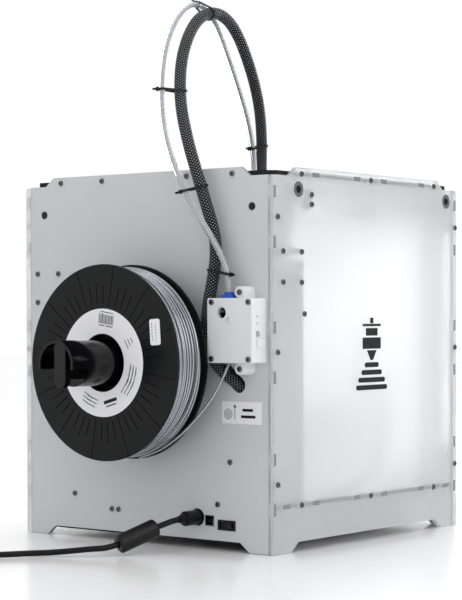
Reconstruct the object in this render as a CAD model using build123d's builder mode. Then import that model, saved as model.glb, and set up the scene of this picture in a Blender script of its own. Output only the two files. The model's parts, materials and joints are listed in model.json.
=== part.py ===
"""Desktop fdm printer: boxed frame, crossed-rod gantry, tube-fed print head, moving bed, reel on the back.

Frame: origin on the floor under the middle of the case, +Z up, the front faces -Y, the back faces +Y.
All lengths are in millimetres.
"""

import os
from math import atan2, degrees, radians, tan

from build123d import *

os.makedirs("parts", exist_ok=True)

# Case
WIDTH = 342.0
DEPTH = 342.0
HEIGHT = 388.0
SIDE_WALL = 6.0
SHEET = 4.3
EDGE_INSET = 1.0
CORNER_DROP = 9.2
CORNER_FLAT = 29.2
CORNER_RAMP = 11.7
CORNER_ROUND = 5.0
FOOT_FLAT = 30.5
FOOT_RAMP = 12.3
FOOT_HEIGHT = 9.7
FLOOR_PANEL_Z = 44.5
TOP_PLATE_DROP = 8.4
TAB_LENGTH = 12.0
TAB_PITCH = 25.0
TAB_GAP = 0.15
FIT_GAP = 0.2
EDGE_SCREW_X = 123.4
WINDOW_WIDTH = 262.0
WINDOW_BOTTOM = 62.0
WINDOW_TOP = HEIGHT - 42.0
WINDOW_ROUND = 14.0

# Screws and standard parts
SCREW_R = 1.45
SCREW_HOLE_R = 1.6
SCREW_HEAD_R = 2.9
SCREW_HEAD_H = 1.7
HEX_R = 1.15
SHAFT_R = 4.0
CROSS_ROD_R = 3.0
Z_ROD_R = 6.0
RUN_GAP = 0.05
BEARING_R = 8.0
BEARING_WIDTH = 5.0
PULLEY_R = 6.2
PULLEY_FLANGE_R = 8.0
BELT_WIDTH = 6.0
BELT_T = 1.4
BELT_GAP = 0.3
MOTOR_SIDE = 42.3
MOTOR_LENGTH = 34.0
MOTOR_HOLE_PITCH = 31.0
SPACER_R = 3.5
MOTOR_STAND_OFF = 15.0
MOTOR_BOSS_H = 1.6
MOTOR_BOSS_R = 11.0
MOTOR_SHAFT_R = 2.5

# Gantry
SHAFT_X_Z = HEIGHT - 22.0
SHAFT_Y_Z = SHAFT_X_Z - 18.0
SHAFT_REAR_Y = DEPTH / 2 - 43.0
SHAFT_FRONT_Y = 21.6 - DEPTH / 2
SHAFT_SIDE_X = WIDTH / 2 - 27.0
HEAD_X = 4.0
HEAD_Y = -18.0
BLOCK_LENGTH = 24.0
BLOCK_INNER = 12.0
BLOCK_OUTER = 8.0
X_MOTOR_YZ = (DEPTH / 2 - 32.2, HEIGHT - 100.4)
Y_MOTOR_XZ = (WIDTH / 2 - 32.3, HEIGHT - 119.5)

# Print head
HEAD_HALF_X = 20.0
HEAD_HALF_Y = 14.5
HEAD_LOW = SHAFT_Y_Z - 10.0
HEAD_TOP = SHAFT_X_Z + 8.0
CORD_LAND_Z = SHAFT_X_Z + 32.0
HOTEND_DX = -9.0
HOTEND_DY = 6.5
GLAND_DX = -9.0
GLAND_DY = -7.0
NOZZLE_TIP_Z = HEAD_LOW - 41.8
BRACKET_T = 1.5
SIDE_FAN = 30.0
SIDE_FAN_T = 10.0
REAR_FAN = 25.0
REAR_FAN_T = 8.0
FAN_LOW_Z = HEAD_LOW - 33.5
REAR_FAN_LOW_Z = HEAD_LOW - 28.0

# Bed
GLASS_TOP_Z = 150.0
GLASS_T = 4.0
BED_T = 3.0
BED_WIDTH = 257.0
BED_DEPTH = 230.0
BED_X = -4.0
BED_Y = -8.0
SPRING_GAP = 11.0
STAGE_T = 3.0
STAGE_HALF = 63.0
Z_ROD_X = 45.0
Z_ROD_Y = DEPTH / 2 - 24.0
SCREW_Y = DEPTH / 2 - 30.0
LEADSCREW_R = 4.0

# Feeder and reel
FEEDER_X = (-162.4, -105.5)
FEEDER_Z = (191.4, 256.2)
FEEDER_DEPTH = 20.0
COVER_T = 4.0
FILAMENT_R = 1.43
FILAMENT_X = -125.5
FILAMENT_Y = 183.0
WHEEL_R = 7.5
WHEEL_Z = 224.0
IDLER_R = 5.5
REEL_X = -10.0
REEL_Z = 191.0
REEL_REAR_Y = 197.5
REEL_WIDTH = 47.5
REEL_R = 100.0
REEL_CORE_R = 52.0
REEL_BORE_R = 29.0
FLANGE_T = 3.4
WINDING_R = 96.5
HUB_R = 23.0

# Cords
TUBE_R = 3.175
SLEEVE_R = 6.2
LEAD_R = 3.0

HALF_W = WIDTH / 2
HALF_D = DEPTH / 2
INNER_X = HALF_W - SIDE_WALL
BACK_OUT = HALF_D - EDGE_INSET
BACK_IN = BACK_OUT - SHEET
CORNER_Z = HEIGHT - CORNER_DROP
TOP_PLATE_Z = HEIGHT - TOP_PLATE_DROP
FLOOR_TOP_Z = FLOOR_PANEL_Z + SHEET
EDGE_TAB_Z = (HEIGHT - 51.0, 202.0, 70.0)
WHEEL_X = FILAMENT_X - FILAMENT_R - WHEEL_R - 0.07
IDLER_X = FILAMENT_X + FILAMENT_R + IDLER_R + 0.07
FEEDER_FRONT = BACK_OUT + FEEDER_DEPTH
GLASS_BOTTOM = GLASS_TOP_Z - GLASS_T
BED_BOTTOM = GLASS_BOTTOM - BED_T
STAGE_TOP = BED_BOTTOM - SPRING_GAP


def save(name, builder):
    """Label the finished piece and write it as parts/name.step."""
    builder.part.label = name
    export_step(builder.part, f"parts/{name}.step")


def cuboid(x, y, z, mode=Mode.ADD):
    """Box between two limits on each axis, in the active part."""
    with Locations(((x[0] + x[1]) / 2, (y[0] + y[1]) / 2, (z[0] + z[1]) / 2)):
        Box(x[1] - x[0], y[1] - y[0], z[1] - z[0], mode=mode)


def bar(radius, start, end, mode=Mode.ADD):
    """Round bar from one point to another in the active part."""
    run = Vector(*end) - Vector(*start)
    with Locations(Location(Plane(origin=start, z_dir=run))):
        Cylinder(radius, run.length, align=(Align.CENTER, Align.CENTER, Align.MIN), mode=mode)


def tube(radius, bore, start, end):
    """Round tube from one point to another, ready to be added to a part."""
    run = Vector(*end) - Vector(*start)
    with BuildPart(Plane(origin=start, z_dir=run), mode=Mode.PRIVATE) as piece:
        Cylinder(radius, run.length, align=(Align.CENTER, Align.CENTER, Align.MIN))
        Cylinder(bore, run.length, align=(Align.CENTER, Align.CENTER, Align.MIN), mode=Mode.SUBTRACT)
    return piece.part


def around(value, half):
    """Limits that lie half each side of a value."""
    return (value - half, value + half)


def panel_outline(half_run, half_case):
    """Outline of a wall panel: lowered top corners and arched foot."""
    flat = half_case - CORNER_FLAT
    ramp = flat - CORNER_RAMP
    foot = half_case - FOOT_FLAT
    arch = foot - FOOT_RAMP
    right = [(0, HEIGHT), (ramp, HEIGHT), (flat, CORNER_Z), (half_run, CORNER_Z), (half_run, 0), (foot, 0),
             (arch, FOOT_HEIGHT), (0, FOOT_HEIGHT)]
    with BuildSketch(Plane.XY, mode=Mode.PRIVATE) as outline:
        with BuildLine():
            Polyline(*right)
            mirror(about=Plane.YZ)
        make_face()
    return outline.sketch_local


SIDE_OUTLINE = panel_outline(HALF_D, HALF_D)
END_OUTLINE = panel_outline(INNER_X, HALF_W)


def edge_tabs():
    """Heights of the tabs that join a front or back panel to a side panel."""
    return [z + step for z in EDGE_TAB_Z for step in (-TAB_PITCH, TAB_PITCH)]


def level_tabs(with_ends):
    """Places along a side panel of the tabs of the top plate or of the floor panel."""
    ends = [EDGE_SCREW_X + TAB_PITCH] if with_ends else []
    half = [TAB_PITCH, EDGE_SCREW_X - TAB_PITCH] + ends
    return half + [-place for place in half]


# ---------------------------------------------------------------- screws


def screw_holes(points, depth):
    """Cut the clearance holes of screws that enter along the opposite of their head's direction."""
    for point, direction in points:
        into = Vector(*point) - Vector(*direction) * depth
        bar(SCREW_HOLE_R, point, tuple(into), mode=Mode.SUBTRACT)


def placed(points, direction):
    """Pair each point with one direction."""
    return [(point, direction) for point in points]


FRONT_SEAM_Y = -(BACK_OUT - SHEET / 2)
REAR_SEAM_Y = BACK_IN - SCREW_HEAD_R + 0.4
PLATE_SCREW_Z = TOP_PLATE_Z + SHEET / 2
FLOOR_SCREW_Z = FLOOR_PANEL_Z + SHEET / 2
MOTOR_STEP = MOTOR_HOLE_PITCH / 2


def side_screws(sign):
    """Screws that enter one side panel from outside."""
    x = sign * HALF_W
    points = [(x, FRONT_SEAM_Y, z) for z in EDGE_TAB_Z]
    points += [(x, REAR_SEAM_Y, z) for z in EDGE_TAB_Z]
    points += [(x, y, z) for y in (-EDGE_SCREW_X, 0.0, EDGE_SCREW_X) for z in (PLATE_SCREW_Z, FLOOR_SCREW_Z)]
    points += [(x, 106.2, HEIGHT - 26.6), (x, 106.2, HEIGHT - 36.4), (x, 118.7, HEIGHT - 147.7)]
    if sign < 0:
        my, mz = X_MOTOR_YZ
        points += [(x, my + a, mz + b) for a in (-MOTOR_STEP, MOTOR_STEP) for b in (-MOTOR_STEP, MOTOR_STEP)]
    return placed(points, (sign, 0, 0))


def back_screws():
    """Screws that enter the back panel from behind."""
    y = BACK_OUT
    mx, mz = Y_MOTOR_XZ
    points = [(x, y, PLATE_SCREW_Z) for x in (118.9, 58.8, -58.8, -118.9)]
    points += [(99.5, y, FLOOR_SCREW_Z), (-99.5, y, FLOOR_SCREW_Z)]
    points += [(45.7, y, 33.1), (36.2, y, 33.1), (-115.8, y, 90.4)]
    points += [(mx + a, y, mz + b) for a in (-MOTOR_STEP, MOTOR_STEP) for b in (-MOTOR_STEP, MOTOR_STEP)]
    return placed(points, (0, 1, 0))


def front_screws():
    """Screws that enter the front panel from the front."""
    points = [(x, -BACK_OUT, z) for x in (-118.9, 0.0, 118.9) for z in (PLATE_SCREW_Z, FLOOR_SCREW_Z)]
    return placed(points, (0, -1, 0))


COVER_SCREW_X = (FEEDER_X[0] + 4.3, FEEDER_X[1] - 5.9)
COVER_SCREW_Z = (FEEDER_Z[0] + 4.0, FEEDER_Z[1] - 4.0)
COVER_SCREWS = [(x, z) for x in COVER_SCREW_X for z in COVER_SCREW_Z]
LUG_X = -142.5
LUG_R = 6.0
LUG_Z = (FEEDER_Z[0] - LUG_R + 0.2, FEEDER_Z[1] + LUG_R - 0.2)
LUG_FRONT = BACK_OUT + 18.0
BOSS_XZ = (-132.4, 234.7)


def feeder_screws():
    """Screws of the feeder: four in its cover, one in the cover's boss, two in its lugs."""
    front = FEEDER_FRONT + COVER_T
    points = [(x, front, z) for x, z in COVER_SCREWS]
    points += [(LUG_X, LUG_FRONT, z) for z in LUG_Z]
    return placed(points, (0, 1, 0))


# ---------------------------------------------------------------- case panels


def side_panel(sign):
    """Frosted side panel with its slots, bearing holes and screw holes."""
    with BuildPart() as panel:
        low = -HALF_W if sign < 0 else INNER_X
        with BuildSketch(Plane.YZ.offset(low)):
            add(SIDE_OUTLINE)
        extrude(amount=SIDE_WALL)
        corners = panel.edges().filter_by(Axis.X).sort_by(Axis.Z)
        outermost = [edge for edge in corners if abs(edge.center().Y) > HALF_D - 1]
        top = [edge for edge in outermost if abs(edge.center().Z - CORNER_Z) < 0.1]
        fillet(top, CORNER_ROUND)
        wall = (low - 1, low + SIDE_WALL + 1)
        half_tab = TAB_LENGTH / 2 + TAB_GAP
        for z in edge_tabs():
            for y in ((BACK_IN - TAB_GAP, BACK_OUT + TAB_GAP), (-BACK_OUT - TAB_GAP, -BACK_IN + TAB_GAP)):
                cuboid(wall, y, around(z, half_tab), mode=Mode.SUBTRACT)
        for z0, ends in ((TOP_PLATE_Z, False), (FLOOR_PANEL_Z, True)):
            for y in level_tabs(ends):
                cuboid(wall, around(y, half_tab), (z0 - TAB_GAP, z0 + SHEET + TAB_GAP), mode=Mode.SUBTRACT)
        for y in (SHAFT_REAR_Y, SHAFT_FRONT_Y):
            bar(BEARING_R + RUN_GAP, (wall[0], y, SHAFT_X_Z), (wall[1], y, SHAFT_X_Z), mode=Mode.SUBTRACT)
        screw_holes(side_screws(sign), SIDE_WALL + 1)
    return panel


left_panel = side_panel(-1)
save("left_panel", left_panel)
right_panel = side_panel(1)
save("right_panel", right_panel)


SLEEVE_HOLE_LOW = (-127.5, 168.6)
SLEEVE_HOLE_HIGH = (-113.0, 181.0)
SLEEVE_HOLE_R = 7.7
SOCKET_XZ = (-72.5, 32.0)
SOCKET_R = 9.0
USB_X = (-94.6, -82.7)
USB_Z = (23.4, 34.9)
ROCKER_X = (-121.3, -101.2)
ROCKER_Z = (22.0, 30.0)
FEEDER_MOTOR_XZ = (WHEEL_X, WHEEL_Z)

with BuildPart() as back_panel:
    with BuildSketch(Plane.XZ.offset(-BACK_OUT)):
        add(END_OUTLINE)
    extrude(amount=SHEET)
    for sign in (-1, 1):
        reach = (INNER_X, HALF_W) if sign > 0 else (-HALF_W, -INNER_X)
        for z in edge_tabs():
            cuboid(reach, (BACK_IN, BACK_OUT), around(z, TAB_LENGTH / 2))
    wall = (BACK_IN - 1, BACK_OUT + 1)
    for x in (-SHAFT_SIDE_X, SHAFT_SIDE_X):
        bar(SHAFT_R + 0.5, (x, wall[0], SHAFT_Y_Z), (x, wall[1], SHAFT_Y_Z), mode=Mode.SUBTRACT)
    screw_holes(back_screws(), SHEET + 1)
    fx, fz = FEEDER_MOTOR_XZ
    bar(MOTOR_BOSS_R + FIT_GAP, (fx, wall[0], fz), (fx, wall[1], fz), mode=Mode.SUBTRACT)
    for z in LUG_Z:
        bar(SCREW_HOLE_R, (LUG_X, wall[0], z), (LUG_X, wall[1], z), mode=Mode.SUBTRACT)
    bar(SOCKET_R, (SOCKET_XZ[0], wall[0], SOCKET_XZ[1]), (SOCKET_XZ[0], wall[1], SOCKET_XZ[1]),
        mode=Mode.SUBTRACT)
    cuboid(USB_X, wall, USB_Z, mode=Mode.SUBTRACT)
    cuboid(ROCKER_X, wall, ROCKER_Z, mode=Mode.SUBTRACT)
    with BuildSketch(Plane.XZ.offset(-wall[1])):
        with BuildLine():
            Line(SLEEVE_HOLE_LOW, SLEEVE_HOLE_HIGH)
        trace(line_width=0.5)
        offset(amount=SLEEVE_HOLE_R)
    extrude(amount=SHEET + 2, mode=Mode.SUBTRACT)
save("back_panel", back_panel)

DISPLAY_X = (-52.0, 12.0)
DISPLAY_Z = (17.0, 41.0)
KNOB_XZ = (62.0, 29.0)
CARD_X = (-112.0, -84.0)
CARD_Z = (26.0, 30.0)

with BuildPart() as front_panel:
    with BuildSketch(Plane.XZ.offset(BACK_IN)):
        add(END_OUTLINE)
        with Locations((0, (WINDOW_BOTTOM + WINDOW_TOP) / 2)):
            RectangleRounded(WINDOW_WIDTH, WINDOW_TOP - WINDOW_BOTTOM, WINDOW_ROUND, mode=Mode.SUBTRACT)
    extrude(amount=SHEET)
    for sign in (-1, 1):
        reach = (INNER_X, HALF_W) if sign > 0 else (-HALF_W, -INNER_X)
        for z in edge_tabs():
            cuboid(reach, (-BACK_OUT, -BACK_IN), around(z, TAB_LENGTH / 2))
    wall = (-BACK_OUT - 1, -BACK_IN + 1)
    for x in (-SHAFT_SIDE_X, SHAFT_SIDE_X):
        bar(SHAFT_R + 0.5, (x, wall[0], SHAFT_Y_Z), (x, wall[1], SHAFT_Y_Z), mode=Mode.SUBTRACT)
    for x in (-1, 1):
        for z in EDGE_TAB_Z:
            start = (x * HALF_W, FRONT_SEAM_Y, z)
            bar(SCREW_HOLE_R, start, (x * (INNER_X - 10), FRONT_SEAM_Y, z), mode=Mode.SUBTRACT)
    screw_holes(front_screws(), SHEET + 1)
    cuboid(DISPLAY_X, wall, DISPLAY_Z, mode=Mode.SUBTRACT)
    cuboid(CARD_X, wall, CARD_Z, mode=Mode.SUBTRACT)
    bar(5.0, (KNOB_XZ[0], wall[0], KNOB_XZ[1]), (KNOB_XZ[0], wall[1], KNOB_XZ[1]), mode=Mode.SUBTRACT)
save("front_panel", front_panel)


def edge_screw_holes(z):
    """Cut the holes in a level panel's edges that its side, back and front screws enter."""
    for sign in (-1, 1):
        for y in (-EDGE_SCREW_X, 0.0, EDGE_SCREW_X):
            bar(SCREW_HOLE_R, (sign * HALF_W, y, z), (sign * (INNER_X - 10), y, z), mode=Mode.SUBTRACT)
    for point, direction in back_screws() + front_screws():
        if abs(point[2] - z) < 0.1:
            inner = point[1] - direction[1] * (SHEET + 10)
            bar(SCREW_HOLE_R, point, (point[0], inner, z), mode=Mode.SUBTRACT)


TOP_INSET = 10.0
OPENING_X = (-136.0, 136.0)
OPENING_Y = (-143.0, 117.0)

with BuildPart() as top_plate:
    with BuildSketch(Plane.XY.offset(TOP_PLATE_Z)):
        Rectangle(2 * INNER_X, 2 * BACK_IN)
        chamfer(vertices(), TOP_INSET)
        with Locations(((OPENING_X[0] + OPENING_X[1]) / 2, (OPENING_Y[0] + OPENING_Y[1]) / 2)):
            RectangleRounded(OPENING_X[1] - OPENING_X[0], OPENING_Y[1] - OPENING_Y[0], 10.0,
                             mode=Mode.SUBTRACT)
        with Locations(*[(x, Z_ROD_Y) for x in (-Z_ROD_X, Z_ROD_X)]):
            Circle(Z_ROD_R + RUN_GAP, mode=Mode.SUBTRACT)
    extrude(amount=SHEET)
    for y in level_tabs(False):
        for x in ((INNER_X, HALF_W), (-HALF_W, -INNER_X)):
            cuboid(x, around(y, TAB_LENGTH / 2), (TOP_PLATE_Z, TOP_PLATE_Z + SHEET))
    edge_screw_holes(PLATE_SCREW_Z)
save("top_plate", top_plate)

with BuildPart() as floor_panel:
    with BuildSketch(Plane.XY.offset(FLOOR_PANEL_Z)):
        Rectangle(2 * INNER_X, 2 * BACK_IN)
        with Locations((0, SCREW_Y)):
            Circle(MOTOR_BOSS_R + FIT_GAP, mode=Mode.SUBTRACT)
        with Locations(*[(x, Z_ROD_Y) for x in (-Z_ROD_X, Z_ROD_X)]):
            Circle(Z_ROD_R + RUN_GAP, mode=Mode.SUBTRACT)
        with Locations((-130.0, 140.0), (30.0, 148.0)):
            Circle(9.0, mode=Mode.SUBTRACT)
    extrude(amount=SHEET)
    for y in level_tabs(True):
        for x in ((INNER_X, HALF_W), (-HALF_W, -INNER_X)):
            cuboid(x, around(y, TAB_LENGTH / 2), (FLOOR_PANEL_Z, FLOOR_TOP_Z))
    edge_screw_holes(FLOOR_SCREW_Z)
save("floor_panel", floor_panel)

TRAY_T = 1.2
TRAY_X = (-140.0, 140.0)
TRAY_Y = (-110.0, BACK_IN - 0.2)
TRAY_LOW = 7.5

with BuildPart() as electronics_cover:
    cuboid(TRAY_X, TRAY_Y, (TRAY_LOW, FLOOR_PANEL_Z))
    inside_y = (TRAY_Y[0] + TRAY_T, TRAY_Y[1] + 1)
    cuboid((TRAY_X[0] + TRAY_T, TRAY_X[1] - TRAY_T), inside_y, (TRAY_LOW + TRAY_T, FLOOR_PANEL_Z + 1),
           mode=Mode.SUBTRACT)
    with BuildSketch(Plane.XY.offset(TRAY_LOW)):
        with GridLocations(12.0, 10.0, 9, 6):
            SlotOverall(8.0, 2.4)
    extrude(amount=TRAY_T, mode=Mode.SUBTRACT)
save("electronics_cover", electronics_cover)

COVER_WALL_T = 1.8
CORNER_COVER_Y = 114.8
CORNER_COVER_X = 108.0
CORNER_COVER_TOP = HEIGHT - 94.0
FLANGE_Y = 148.0

with BuildPart() as corner_covers:
    for sign in (-1, 1):
        outer = sign * (INNER_X - 0.1)
        inner = sign * CORNER_COVER_X
        step = sign * COVER_WALL_T
        across = tuple(sorted((outer, inner)))
        cuboid(across, (CORNER_COVER_Y, CORNER_COVER_Y + COVER_WALL_T), (FLOOR_TOP_Z, CORNER_COVER_TOP))
        cuboid(tuple(sorted((inner, inner + step))), (CORNER_COVER_Y, BACK_IN - 0.1),
               (FLOOR_TOP_Z, CORNER_COVER_TOP))
        cuboid(tuple(sorted((outer, outer - step))), (FLANGE_Y, BACK_IN - 0.1),
               (CORNER_COVER_TOP - 40, HEIGHT - 15.0))
        cuboid(tuple(sorted((outer, outer - step))), (CORNER_COVER_Y, BACK_IN - 0.1), (FLOOR_TOP_Z, 255.0))
        for z in EDGE_TAB_Z:
            bar(SCREW_HOLE_R, (outer, REAR_SEAM_Y, z), (outer - 3 * step, REAR_SEAM_Y, z),
                mode=Mode.SUBTRACT)
        bar(SCREW_HOLE_R, (outer, 118.7, 240.3), (outer - 3 * step, 118.7, 240.3), mode=Mode.SUBTRACT)
        for z in (X_MOTOR_YZ[1] - MOTOR_STEP, X_MOTOR_YZ[1] + MOTOR_STEP):
            y = X_MOTOR_YZ[0] + MOTOR_STEP
            bar(SPACER_R + 0.4, (outer, y, z), (outer - 3 * step, y, z), mode=Mode.SUBTRACT)
save("corner_covers", corner_covers)

# ---------------------------------------------------------------- drive shafts, bearings, belts


def pulley(plane_origin, direction):
    """Belt pulley centred on a point of its shaft: toothed drum between two flanges."""
    width = BELT_WIDTH + 2 * BELT_GAP
    axis = Vector(*direction)
    start = Vector(*plane_origin) - axis * (width / 2 + 1)
    bar(PULLEY_FLANGE_R, tuple(start), tuple(start + axis))
    bar(PULLEY_R, tuple(start + axis), tuple(start + axis * (1 + width)))
    bar(PULLEY_FLANGE_R, tuple(start + axis * (1 + width)), tuple(start + axis * (2 + width)))


SHORT_BELT_X = -(INNER_X - MOTOR_STAND_OFF / 2)
SHORT_BELT_Y = BACK_IN - MOTOR_STAND_OFF / 2
SHAFT_END = HALF_W - 2.0


def x_shaft(y, short_belt):
    """Drive shaft along X with its two long-belt pulleys and, at the rear, its motor-belt pulley."""
    with BuildPart() as shaft:
        bar(SHAFT_R, (-SHAFT_END, y, SHAFT_X_Z), (SHAFT_END, y, SHAFT_X_Z))
        for x in (-SHAFT_SIDE_X, SHAFT_SIDE_X):
            pulley((x, y, SHAFT_X_Z), (1, 0, 0))
        if short_belt:
            pulley((SHORT_BELT_X, y, SHAFT_X_Z), (1, 0, 0))
    return shaft


def y_shaft(x, short_belt):
    """Drive shaft along Y with its two long-belt pulleys and, on the right, its motor-belt pulley."""
    with BuildPart() as shaft:
        bar(SHAFT_R, (x, -SHAFT_END, SHAFT_Y_Z), (x, SHAFT_END, SHAFT_Y_Z))
        for y in (SHAFT_FRONT_Y, SHAFT_REAR_Y):
            pulley((x, y, SHAFT_Y_Z), (0, 1, 0))
        if short_belt:
            pulley((x, SHORT_BELT_Y, SHAFT_Y_Z), (0, 1, 0))
    return shaft


save("front_shaft", x_shaft(SHAFT_FRONT_Y, False))
save("rear_shaft", x_shaft(SHAFT_REAR_Y, True))
save("left_shaft", y_shaft(-SHAFT_SIDE_X, False))
save("right_shaft", y_shaft(SHAFT_SIDE_X, True))

with BuildPart() as shaft_bearings:
    for y in (SHAFT_FRONT_Y, SHAFT_REAR_Y):
        for x in ((-HALF_W + 0.2, -INNER_X + 0.4), (INNER_X - 0.4, HALF_W - 0.2)):
            add(tube(BEARING_R, SHAFT_R + RUN_GAP, (x[0], y, SHAFT_X_Z), (x[1], y, SHAFT_X_Z)))
    for x in (-SHAFT_SIDE_X, SHAFT_SIDE_X):
        for y in ((-BACK_IN + 0.05, -BACK_IN + 2.2), (BACK_IN - 2.2, BACK_IN - 0.05)):
            add(tube(BEARING_R, SHAFT_R + RUN_GAP, (x, y[0], SHAFT_Y_Z), (x, y[1], SHAFT_Y_Z)))
save("shaft_bearings", shaft_bearings)


def belt(plane, start, end, width):
    """Closed flat belt round two equal pulleys whose centres are given in the plane."""
    middle = ((start[0] + end[0]) / 2, (start[1] + end[1]) / 2)
    run = Vector(end[0] - start[0], end[1] - start[1])
    angle = degrees(atan2(run.Y, run.X))
    inner = PULLEY_R + BELT_GAP
    with BuildPart(mode=Mode.PRIVATE) as loop:
        with BuildSketch(plane):
            with Locations(Location((*middle, 0), angle)):
                SlotCenterToCenter(run.length, 2 * (inner + BELT_T))
                SlotCenterToCenter(run.length, 2 * inner, mode=Mode.SUBTRACT)
        extrude(amount=width / 2, both=True)
    return loop.part


with BuildPart() as long_belts:
    for x in (-SHAFT_SIDE_X, SHAFT_SIDE_X):
        add(belt(Plane.YZ.offset(x), (SHAFT_FRONT_Y, SHAFT_X_Z), (SHAFT_REAR_Y, SHAFT_X_Z), BELT_WIDTH))
    for y in (SHAFT_FRONT_Y, SHAFT_REAR_Y):
        add(belt(Plane.XZ.offset(-y), (-SHAFT_SIDE_X, SHAFT_Y_Z), (SHAFT_SIDE_X, SHAFT_Y_Z), BELT_WIDTH))
save("long_belts", long_belts)

with BuildPart() as short_belts:
    add(belt(Plane.YZ.offset(SHORT_BELT_X), X_MOTOR_YZ, (SHAFT_REAR_Y, SHAFT_X_Z), BELT_WIDTH))
    add(belt(Plane.XZ.offset(-SHORT_BELT_Y), Y_MOTOR_XZ, (SHAFT_SIDE_X, SHAFT_Y_Z), BELT_WIDTH))
save("short_belts", short_belts)

# ---------------------------------------------------------------- motors

with BuildPart() as motor_body:
    with BuildSketch(Plane.XY.offset(-MOTOR_LENGTH)):
        Rectangle(MOTOR_SIDE, MOTOR_SIDE)
        chamfer(vertices(), 4.0)
    extrude(amount=MOTOR_LENGTH)
    bar(MOTOR_BOSS_R, (0, 0, 0), (0, 0, MOTOR_BOSS_H))
    bar(MOTOR_SHAFT_R + 0.1, (0, 0, 2.0), (0, 0, -8.0), mode=Mode.SUBTRACT)
    with BuildSketch(Plane.XY):
        with GridLocations(MOTOR_HOLE_PITCH, MOTOR_HOLE_PITCH, 2, 2):
            Circle(SCREW_HOLE_R)
    extrude(amount=-6.0, mode=Mode.SUBTRACT)

X_MOTOR_FACE = -INNER_X + MOTOR_STAND_OFF
Y_MOTOR_FACE = BACK_IN - MOTOR_STAND_OFF

with BuildPart() as axis_motors:
    my, mz = X_MOTOR_YZ
    mx, yz = Y_MOTOR_XZ
    with Locations(Location(Plane(origin=(X_MOTOR_FACE, my, mz), x_dir=(0, 1, 0), z_dir=(-1, 0, 0)))):
        add(motor_body.part)
    with Locations(Location(Plane(origin=(mx, Y_MOTOR_FACE, yz), x_dir=(1, 0, 0), z_dir=(0, 1, 0)))):
        add(motor_body.part)
    with Locations(Location(Plane(origin=(0, SCREW_Y, FLOOR_PANEL_Z), x_dir=(1, 0, 0), z_dir=(0, 0, 1)))):
        add(motor_body.part)
save("axis_motors", axis_motors)

with BuildPart() as feeder_motor:
    with Locations(Location(Plane(origin=(fx, BACK_IN, fz), x_dir=(1, 0, 0), z_dir=(0, 1, 0)))):
        add(motor_body.part)
save("feeder_motor", feeder_motor)


def motor_pulley(centre, direction, name):
    """Motor shaft with its small belt pulley."""
    with BuildPart() as piece:
        pulley(centre, direction)
        axis = Vector(*direction)
        middle = Vector(*centre)
        bar(MOTOR_SHAFT_R, tuple(middle - axis * 5.0), tuple(middle + axis * (MOTOR_STAND_OFF / 2 + 6.0)))
    save(name, piece)


motor_pulley((SHORT_BELT_X, my, mz), (1, 0, 0), "rear_shaft_drive")
motor_pulley((mx, SHORT_BELT_Y, yz), (0, -1, 0), "right_shaft_drive")

# ---------------------------------------------------------------- gantry slides


def rounded_block(x, y, z, along):
    """Slider block with its long edges rounded."""
    with BuildPart() as block:
        cuboid(x, y, z)
        fillet(block.edges().filter_by(along), 2.5)
    return block.part


BELT_CLEAR = PULLEY_R + BELT_GAP + BELT_T + 0.5
HEAD_SLIDE = (HEAD_X - BLOCK_LENGTH / 2, HEAD_X + BLOCK_LENGTH / 2)
HEAD_REACH = (HEAD_Y - BLOCK_LENGTH / 2, HEAD_Y + BLOCK_LENGTH / 2)
X_BLOCK_Z = (SHAFT_Y_Z + BELT_CLEAR, SHAFT_X_Z + 10.0)
Y_BLOCK_Z = (SHAFT_Y_Z - 10.0, SHAFT_X_Z - BELT_CLEAR)

with BuildPart() as x_blocks:
    rear = rounded_block(HEAD_SLIDE, (SHAFT_REAR_Y - BLOCK_INNER, SHAFT_REAR_Y + BLOCK_OUTER),
                         X_BLOCK_Z, Axis.X)
    front = rounded_block(HEAD_SLIDE, (SHAFT_FRONT_Y - BLOCK_OUTER, SHAFT_FRONT_Y + BLOCK_INNER),
                          X_BLOCK_Z, Axis.X)
    add(rear)
    add(front)
    for y in (SHAFT_FRONT_Y, SHAFT_REAR_Y):
        start = (HEAD_SLIDE[0] - 1, y, SHAFT_X_Z)
        bar(SHAFT_R + RUN_GAP, start, (HEAD_SLIDE[1] + 1, y, SHAFT_X_Z), mode=Mode.SUBTRACT)
    rod_y = (SHAFT_FRONT_Y + SHAFT_R + 1.5, SHAFT_REAR_Y - SHAFT_R - 1.5)
    bar(CROSS_ROD_R + 0.02, (HEAD_X, rod_y[0], SHAFT_X_Z), (HEAD_X, rod_y[1], SHAFT_X_Z), mode=Mode.SUBTRACT)
save("x_blocks", x_blocks)

with BuildPart() as x_cross_rod:
    bar(CROSS_ROD_R, (HEAD_X, rod_y[0], SHAFT_X_Z), (HEAD_X, rod_y[1], SHAFT_X_Z))
save("x_cross_rod", x_cross_rod)

with BuildPart() as y_blocks:
    right = rounded_block((SHAFT_SIDE_X - BLOCK_INNER, SHAFT_SIDE_X + BLOCK_OUTER), HEAD_REACH,
                          Y_BLOCK_Z, Axis.Y)
    left = rounded_block((-SHAFT_SIDE_X - BLOCK_OUTER, -SHAFT_SIDE_X + BLOCK_INNER), HEAD_REACH,
                         Y_BLOCK_Z, Axis.Y)
    add(right)
    add(left)
    for x in (-SHAFT_SIDE_X, SHAFT_SIDE_X):
        start = (x, HEAD_REACH[0] - 1, SHAFT_Y_Z)
        bar(SHAFT_R + RUN_GAP, start, (x, HEAD_REACH[1] + 1, SHAFT_Y_Z), mode=Mode.SUBTRACT)
    rod_x = SHAFT_SIDE_X - SHAFT_R - 1.5
    bar(CROSS_ROD_R + 0.02, (-rod_x, HEAD_Y, SHAFT_Y_Z), (rod_x, HEAD_Y, SHAFT_Y_Z), mode=Mode.SUBTRACT)
save("y_blocks", y_blocks)

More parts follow.
